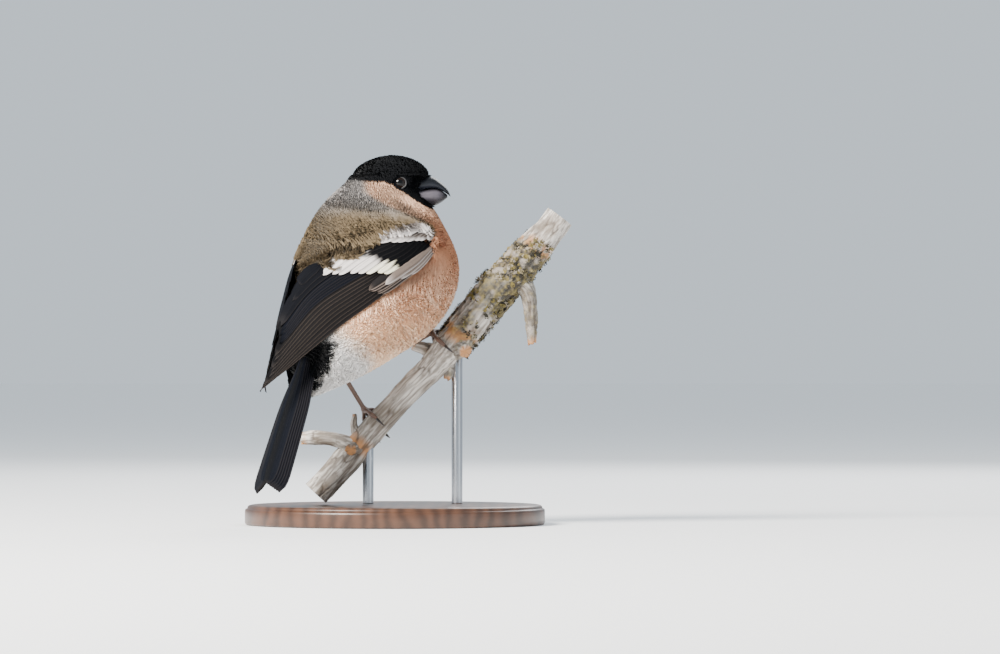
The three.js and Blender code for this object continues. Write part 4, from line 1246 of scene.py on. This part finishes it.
# Perch
# A cut length of dead branch, weathered grey and cracked along the grain,
# with old bark, moss and knots on its upper part and a few broken stubs.
wood_grey = linear(140, 131, 122)
wood_light = linear(208, 201, 192)
wood_dark = linear(78, 66, 56)
wood_orange = linear(186, 132, 84)
bark_brown = linear(92, 78, 62)
moss_green = linear(112, 98, 46)
moss_dark = linear(34, 30, 20)
cut_wood = linear(206, 180, 142)
perch_rows, perch_columns = 620, 104
perch_grain = 150 / 7
stub_grain, stub_shift = 5, 9
cut_rings = 14
stub_rows, stub_columns = 90, 48
moss_count = 1500

# The branch is laid out in pixels of the photo, with its radius in millimetres.
# One pixel is 0.4 mm, and the layout origin is the pixel of the model's origin.
pixel = 0.4
layout_origin = (395, 525)
perch_line = [(316, 494, 5.3), (330, 479, 5.4), (347, 461, 5.6), (362, 442, 5.3), (379, 422, 5.2),
              (409, 391, 5.0), (434, 366, 5.6), (452, 345, 7.0), (470, 324, 7.8), (492, 295, 7.9),
              (512, 274, 7.9), (532, 252, 7.0), (548, 233, 6.0), (560, 217, 5.8)]
perch_depth = body_centre[1] + 5
near = np.array([0, -1, 0])

# Each stub: name, knots of the layout (x, y, depth), radii and whether it is mossy
stubs = [
    ("stub_low", [(352, 446, -1), (335, 440, -1), (318, 438, 0), (302, 439, 1)],
     [3.4, 2.9, 2.7, 2.9, 2.3], False),
    ("stub_snapped", [(362, 447, 0), (355, 449, -4), (351, 450, -7.5)], [3.2, 2.8, 2.3], False),
    ("stub_far", [(440, 356, 1), (427, 350, 3), (413, 346, 4)], [4.2, 3.0, 2.0], False),
    ("stub_hanging", [(514, 280, 0), (527, 292, -2), (531, 318, -2), (532, 344, -1)],
     [4.2, 3.8, 2.9, 2.5, 1.5], True),
    ("stub_knot", [(452, 352, 0), (460, 350, -5), (466, 352, -8.6)], [4.6, 3.6, 2.4], True),
    ("bark_tongue", [(446, 356, 0), (450, 369, 0), (447, 379, -1)], [3.6, 2.8, 1.5], True),
    ("bark_splinter", [(360, 440, 0), (354, 427, 0), (355, 415, 0)], [2.6, 1.7, 0.9], False),
]


def layout(x, y, depth):
    """A point of the layout of the branch, in millimetres."""
    return ((x - layout_origin[0]) * pixel, perch_depth + depth, (layout_origin[1] - y) * pixel)


perch_knots = [(layout(x, y, 0)[0], radius, layout(x, y, 0)[2]) for x, y, radius in perch_line]


def perch_at(share):
    """Centre, radius, way along and upper side of the branch at a share of its length, in millimetres."""
    value = smooth_line(perch_knots, share)
    ahead = smooth_line(perch_knots, np.minimum(np.asarray(share) + 0.004, 1))
    behind = smooth_line(perch_knots, np.maximum(np.asarray(share) - 0.004, 0))
    slope = unit((ahead - behind) * (1, 0, 1))
    centre = np.stack([value[..., 0], np.full_like(value[..., 0], perch_depth), value[..., 2]], -1)
    upper = np.stack([-slope[..., 2], 0 * slope[..., 0], slope[..., 0]], -1)
    return centre, value[..., 1], slope, upper


def swept(path, radii, side_hint):
    """Rings round a path, with the way out of each point. radii has one column for each point of a ring."""
    along = unit(np.gradient(path, axis=0))
    aside = unit(np.cross(along, side_hint))
    over = np.cross(aside, along)
    angle = around(radii.shape[1])[None, :, None]
    out = aside[:, None] * np.cos(angle) + over[:, None] * np.sin(angle)
    return path[:, None] + out * radii[..., None], out


def out_of_perch(upper, angle):
    """The way out of the branch at angles round it from its upper side."""
    return upper * np.cos(angle)[..., None] + near * np.sin(angle)[..., None]


def unrolled(radius, angle, along, shift=0):
    """Places on the unrolled branch, drawn short along the grain. A shift gives another stretch of grain."""
    return np.stack([radius * np.cos(angle) + shift, radius * np.sin(angle), along + 0 * angle], -1)


def bark(points, grain_points, moss, orange):
    """Height in millimetres and colour of the bark at points.

    grain_points are the unrolled points. moss and orange are shares from 0 to 1.
    """
    grain = noise(grain_points, 0.9, 11)
    fine = noise(grain_points, 0.35, 12)
    crack = np.exp(-(noise(grain_points, 2.1, 13) / 0.07) ** 2)
    thin_crack = np.exp(-(noise(grain_points, 0.8, 25) / 0.06) ** 2)
    lump = noise(points, 5 * mm, 14)
    rough = noise(points, 1.3 * mm, 15) + 0.5 * noise(points, 0.6 * mm, 16)
    height = 0.12 * grain + 0.07 * fine - 0.3 * crack * (1 - 0.5 * moss) + 0.25 * lump + 0.6 * moss * rough
    height = height - 0.12 * thin_crack
    colour = mixed(wood_grey, wood_light, ease(grain + 0.8 * fine, -0.5, 0.7))
    colour = mixed(colour, wood_dark, 0.45 * thin_crack)
    colour = mixed(colour, bark_brown, 0.55 * ease(noise(points, 7 * mm, 17), 0.0, 0.6))
    colour = mixed(colour, wood_orange, orange * ease(noise(points, 2.5 * mm, 18), -0.5, 0.1))
    mossy = mixed(moss_dark, moss_green, ease(rough, -0.4, 0.9))
    mossy = mixed(mossy, wood_grey, ease(noise(points, 3 * mm, 19), 0.15, 0.5))
    colour = mixed(colour, mossy, moss * 0.9)
    return height, mixed(colour, wood_dark, 0.75 * crack * (1 - 0.3 * moss))


def stretch(share, start, end, soft=0.03):
    """1 on a stretch of the branch, 0 off it, with soft ends."""
    return ease(share, start - soft, start + soft) * (1 - ease(share, end - soft, end + soft))


wood = gloss_finish("dead_wood", 0.85)
share = np.linspace(0, 1, perch_rows)[:, None]
angle = around(perch_columns)[None]
centre, radius, slope, upper = perch_at(share + 0 * angle)
out = out_of_perch(upper, angle)
wave = 1 + 0.05 * np.sin(3 * angle + share * 15.4) + 0.04 * np.sin(5 * angle - share * 28.6)
surface = centre + out * (radius * wave)[..., None]
moss = stretch(share, 0.56, 0.86) * ease(noise(surface * mm, 9 * mm, 20), -0.9, 0.1)
bare_rings = [stretch(share, 0.2, 0.235, 0.02), stretch(share, 0.55, 0.6, 0.02),
              stretch(share, 0.84, 0.88, 0.02) * 0.9]
orange = np.maximum.reduce(bare_rings) * ease(np.sin(angle), -0.2, 0.6)
height, tint = bark(surface * mm, unrolled(radius, angle, share * perch_grain), moss, orange)
branch = (surface + out * height[..., None]) * mm
points = [branch.reshape(-1, 3)]
colours = [tint.reshape(-1, 3)]
faces = [grid_faces(perch_rows, perch_columns, True)]
count = branch[..., 0].size

# Each cut end is a flat disc of rings round one middle point.
inward = np.linspace(1, 0.05, cut_rings)[:, None, None]
for row, turned_over in ((0, True), (-1, False)):
    middle = centre[row, 0] * mm
    disc = middle + (branch[row] - middle) * inward
    rings = 0.5 + 0.5 * np.sin(26 * inward[..., 0] + 0.6 * noise(disc, 3 * mm, 21))
    face = mixed(cut_wood, wood_orange * 0.8, 0.5 * rings)
    quads = grid_faces(cut_rings, perch_columns, True) + count
    step = np.arange(perch_columns)
    last_ring = count + (cut_rings - 1) * perch_columns
    hub = np.stack([np.full(perch_columns, count + disc[..., 0].size), last_ring + step,
                    last_ring + (step + 1) % perch_columns], -1)
    faces += [quads[:, ::-1], hub[:, ::-1]] if turned_over else [quads, hub]
    points += [disc.reshape(-1, 3), disc[-1].mean(0, keepdims=True)]
    colours += [face.reshape(-1, 3), face[-1, :1]]
    count += disc[..., 0].size + 1
fitted(make_mesh("branch", np.vstack(points), faces, wood, np.vstack(colours)), "bark", "perch")

# Each stub is bark like the branch and ends in torn orange wood.
for number, (name, knots, radii, is_mossy) in enumerate(stubs):
    share = np.linspace(0, 1, stub_rows)
    path = smooth_line([layout(*knot) for knot in knots], share)
    radius = smooth_line([(r, 0, 0) for r in radii], share)[:, :1]
    grid, out = swept(path, radius + np.zeros((1, stub_columns)), (0.1, 0.9, 0.3))
    angle = around(stub_columns)[None]
    run = np.linalg.norm(np.diff(path, axis=0), axis=1).sum()
    grain_points = unrolled(radius, angle, share[:, None] * run / stub_grain, stub_shift * number)
    torn = ease(share, 0.86, 1.0)[:, None]
    moss = 0.5 * is_mossy * (1 - torn) + 0 * angle
    height, tint = bark(grid * mm, grain_points, moss, 0.9 * torn + 0 * angle)
    along = unit(np.gradient(path, axis=0))[:, None]
    jag = torn * 1.3 * noise(grain_points * np.array([1, 1, 0.2]), 0.8, 23)
    grid = (grid + out * (height * 0.8)[..., None] + along * jag[..., None]) * mm
    tip = grid[-1].mean(0) - along[-1, 0] * 0.8 * mm
    fitted(round_piece(name, grid, tint, wood, tip, wood_orange), "bark", "perch")

# Small flakes of moss and old bark stand on the upper part of the branch.
share = rng.uniform(0.55, 0.88, moss_count)
angle = rng.uniform(0, 2 * math.pi, moss_count)
centre, radius, slope, upper = perch_at(share)
out = out_of_perch(upper, angle)
roots = centre + out * radius[:, None]
kept = noise(roots * mm, 5 * mm, 24) > -0.15
share, roots, out, slope = share[kept], roots[kept], out[kept], slope[kept]
turn = rng.uniform(0, 2 * math.pi, len(roots))[:, None]
way = slope * np.cos(turn) + np.cross(out, slope) * np.sin(turn)
way = unit(way + 0.5 * out * rng.random((len(roots), 1)))
long = rng.uniform(0.9, 2.6, len(roots))
spine = (roots[:, None] + way[:, None] * steps[None, :, None] * long[:, None, None]) * mm
ups = np.repeat(out[:, None], spine_spots, 1)
tone = rng.random(len(roots))
tint = mixed(moss_dark, moss_green, ease(tone, 0.1, 0.9))
tint = mixed(tint, wood_grey, 0.8 * ease(tone, 0.75, 0.9))
places = np.stack([rng.random(len(roots)), share], -1)
depths = np.full(len(roots), 0.5)
flakes = coat("bark_flakes", soft_vane(2, 2), spine, ups, long * 0.8, depths, tint, places, wood)
fitted(flakes, "bark", "perch")


# Legs and feet
# Thin brown legs with a row of broad scutes down the front stand on the
# branch. Three toes go over the far side, the hind toe down the near side.
legs = {
    "left": {"share": 0.305, "hock": (-15.5, -7.0, -36.5), "drift": (-5.5, -1.5, 3.5, 0.8)},
    "right": {"share": 0.53, "hock": (2.5, 7.5, -31.5), "drift": (-4.0, 1.0, 5.0, -1.0)},
}
toe_reach = {"inner": -112, "middle": -140, "outer": -104, "hind": 78}
shank_radii = [1.35, 0.92, 0.9, 0.95, 1.2]
front_toe_radii = [1.25, 1.0, 0.72, 0.92, 0.68, 0.84, 0.62]
hind_toe_radii = [1.25, 1.0, 0.74, 0.95, 0.66]
toe_radius = 0.85
shank_scute, toe_scute = 2.1, 0.9
claw_length = 4.6
claw_radius = 0.56
gap = 0.3
leg_rows, leg_columns = 150, 26
claw_rows, claw_columns = 40, 20
leg_brown = linear(96, 72, 60)
leg_dark = linear(58, 43, 38)
claw_dark = linear(34, 28, 27)
leg_skin = gloss_finish("leg_skin", 0.55)
claw_horn = gloss_finish("claw_horn", 0.3, 0.2)


def over_perch(leg, angle, drift, height):
    """Points over the branch: round it from the top, along it and clear of its bark, in millimetres."""
    centre, radius, slope, upper = perch_at(leg["share"])
    turn = np.radians(np.asarray(angle, float))[..., None]
    reach = (radius * 1.06 + np.asarray(height, float))[..., None]
    drift = np.asarray(drift, float)[..., None]
    return centre + slope * drift + upper * reach * np.cos(turn) + near * reach * np.sin(turn)


def scaled(name, path, radii, scute_pitch, side_hint):
    """A leg or toe: a round rod with raised scutes on its upper side and small scales round the rest."""
    share = np.linspace(0, 1, leg_rows)
    line = smooth_line(path, share)
    radius = np.interp(share, np.linspace(0, 1, len(radii)), radii)[:, None]
    angle = around(leg_columns)[None]
    run = np.concatenate([[0], np.cumsum(np.linalg.norm(np.diff(line, axis=0), axis=1))])[:, None]
    front = ease(np.sin(angle), 0.1, 0.7)
    saw = (run / scute_pitch) % 1
    scute = front * (0.09 * saw - 0.16 * np.exp(-((saw - 0.03) / 0.06) ** 2))
    small = (1 - front) * 0.05 * np.sin(run * 9) * np.sin(angle * 7 + 2 * np.floor(run * 1.4))
    grid = swept(line, radius * (1 + scute + small), side_hint)[0] * mm
    seam = np.exp(-((saw - 0.03) / 0.08) ** 2)
    tint = mixed(leg_brown, leg_dark, 0.9 * front * seam + 0.25 * (1 - front) + 0 * run)
    tint = tint * (1 + 0.15 * noise(grid, 0.8 * mm, 26))[..., None]
    return round_piece(name, grid, tint, leg_skin)


def curved_claw(name, leg, reach, drift, side_hint):
    """A claw that goes on from the end of a toe and bends down to the bark."""
    radius = perch_at(leg["share"])[1]
    start = math.degrees(0.25 / (radius + 1.2)) * np.sign(reach)
    sweep = math.degrees(claw_length / (radius + 2)) * np.sign(reach)
    bend = np.linspace(0, 1, 6)
    bow = 0.9 * np.sin(bend * math.pi) + 0.25 * bend
    path = over_perch(leg, reach + start + sweep * bend, drift + 0 * bend, toe_radius + gap + bow)
    share = np.linspace(0, 1, claw_rows)
    radii = (claw_radius * (1 - share) ** 0.75 + 0.05)[:, None] + np.zeros((1, claw_columns))
    grid = swept(smooth_line(path, share), radii, side_hint)[0] * mm
    tint = claw_dark * (0.8 + 0.9 * share[:, None, None]) + 0 * grid
    return round_piece(name, grid, tint, claw_horn)


for leg_name, leg in legs.items():
    foot = over_perch(leg, 0, 0, 1.5 + gap)
    hock = place(*leg["hock"]) / mm
    away = unit(hock - foot)
    shank = [foot + away * 0.6, foot + away * 3.0, (foot + hock) / 2, hock]
    shank_piece = scaled(f"shank_{leg_name}", shank, shank_radii, shank_scute, (0.3, 0.9, 0.1))
    fitted(shank_piece, "leg", f"leg_{leg_name}")
    side_hint = tuple(perch_at(leg["share"])[2])
    for (toe_name, reach), drift in zip(toe_reach.items(), leg["drift"]):
        sweep = np.array([0, 0.15, 0.4, 0.7, 1.0])
        clear = np.array([0.7, 0.25, 0.05, 0.05, 0.0])
        path = over_perch(leg, reach * sweep, drift * np.sin(sweep * math.pi / 2), toe_radius + gap + clear)
        radii = hind_toe_radii if toe_name == "hind" else front_toe_radii
        toe = scaled(f"toe_{leg_name}_{toe_name}", path, radii, toe_scute, side_hint)
        fitted(toe, "leg", f"foot_{leg_name}")
        claw = curved_claw(f"nail_{leg_name}_{toe_name}", leg, reach, drift, side_hint)
        fitted(claw, "claw", f"claw_{leg_name}_{toe_name}")


# Display stand
# A turned disc of dark walnut, oiled, and two bright steel rods that go up
# into the underside of the branch.
base_profile = [(0.0, 0.0), (58.6, 0.0), (59.7, 0.3), (60.0, 1.0), (60.0, 5.4), (59.85, 6.2),
                (59.3, 6.5), (59.0, 6.6), (58.9, 7.2), (58.4, 7.75), (57.4, 8.0), (40.0, 8.0),
                (0.0, 8.0)]
base_columns, rod_columns = 160, 64
rod_chamfer, rod_foot, rod_shoulder = 0.4, 0.4, 0.6


def turned(name, profile, node, columns, finish):
    """A piece turned on a lathe, at the place of a node, from the radius and height of its profile."""
    low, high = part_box(node)
    east, north = (low.x + high.x) / 2 / mm, (low.y + high.y) / 2 / mm
    radius, height = np.array(profile).T[..., None]
    angle = around(columns)[None]
    rings = np.broadcast_arrays(east + radius * np.cos(angle), north + radius * np.sin(angle), height)
    points = np.stack(rings, -1).reshape(-1, 3) * mm
    return make_mesh(name, points, grid_faces(len(profile), columns, True)[:, ::-1], finish)


def walnut_finish():
    """Dark wood with fine growth rings along one side."""
    material = shaded("oiled_walnut", linear(74, 48, 33), 0.35, [(0.004, 0.00003, 0.25)])
    nodes = material.node_tree.nodes
    wave = nodes.new("ShaderNodeTexWave")
    wave.inputs["Scale"].default_value = 55
    wave.inputs["Distortion"].default_value = 6
    wave.inputs["Detail"].default_value = 3
    material.node_tree.links.new(nodes.new("ShaderNodeTexCoord").outputs["Object"], wave.inputs["Vector"])
    mottled(material, wave.outputs["Fac"], 0.6, 1.25)
    return material


turned_base = turned("turned_base", base_profile, "stand_base", base_columns, walnut_finish())
fitted(turned_base, "base_wood", "stand_base")
steel = shaded("bright_steel", linear(176, 178, 182), 0.24, [(0.0012, 0.000004, 0.03)])
steel.node_tree.nodes["Principled BSDF"].inputs["Metallic"].default_value = 1
for name in ("low", "high"):
    low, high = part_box(f"stand_rod_{name}")
    radius = (high.x - low.x) / 2 / mm
    bottom, top = low.z / mm, high.z / mm
    profile = [(0, bottom), (radius, bottom), (radius, bottom + rod_foot),
               (radius, top - rod_shoulder), (radius - rod_chamfer, top), (0, top)]
    rod = turned(f"rod_{name}", profile, f"stand_rod_{name}", rod_columns, steel)
    fitted(rod, "steel", f"stand_rod_{name}")
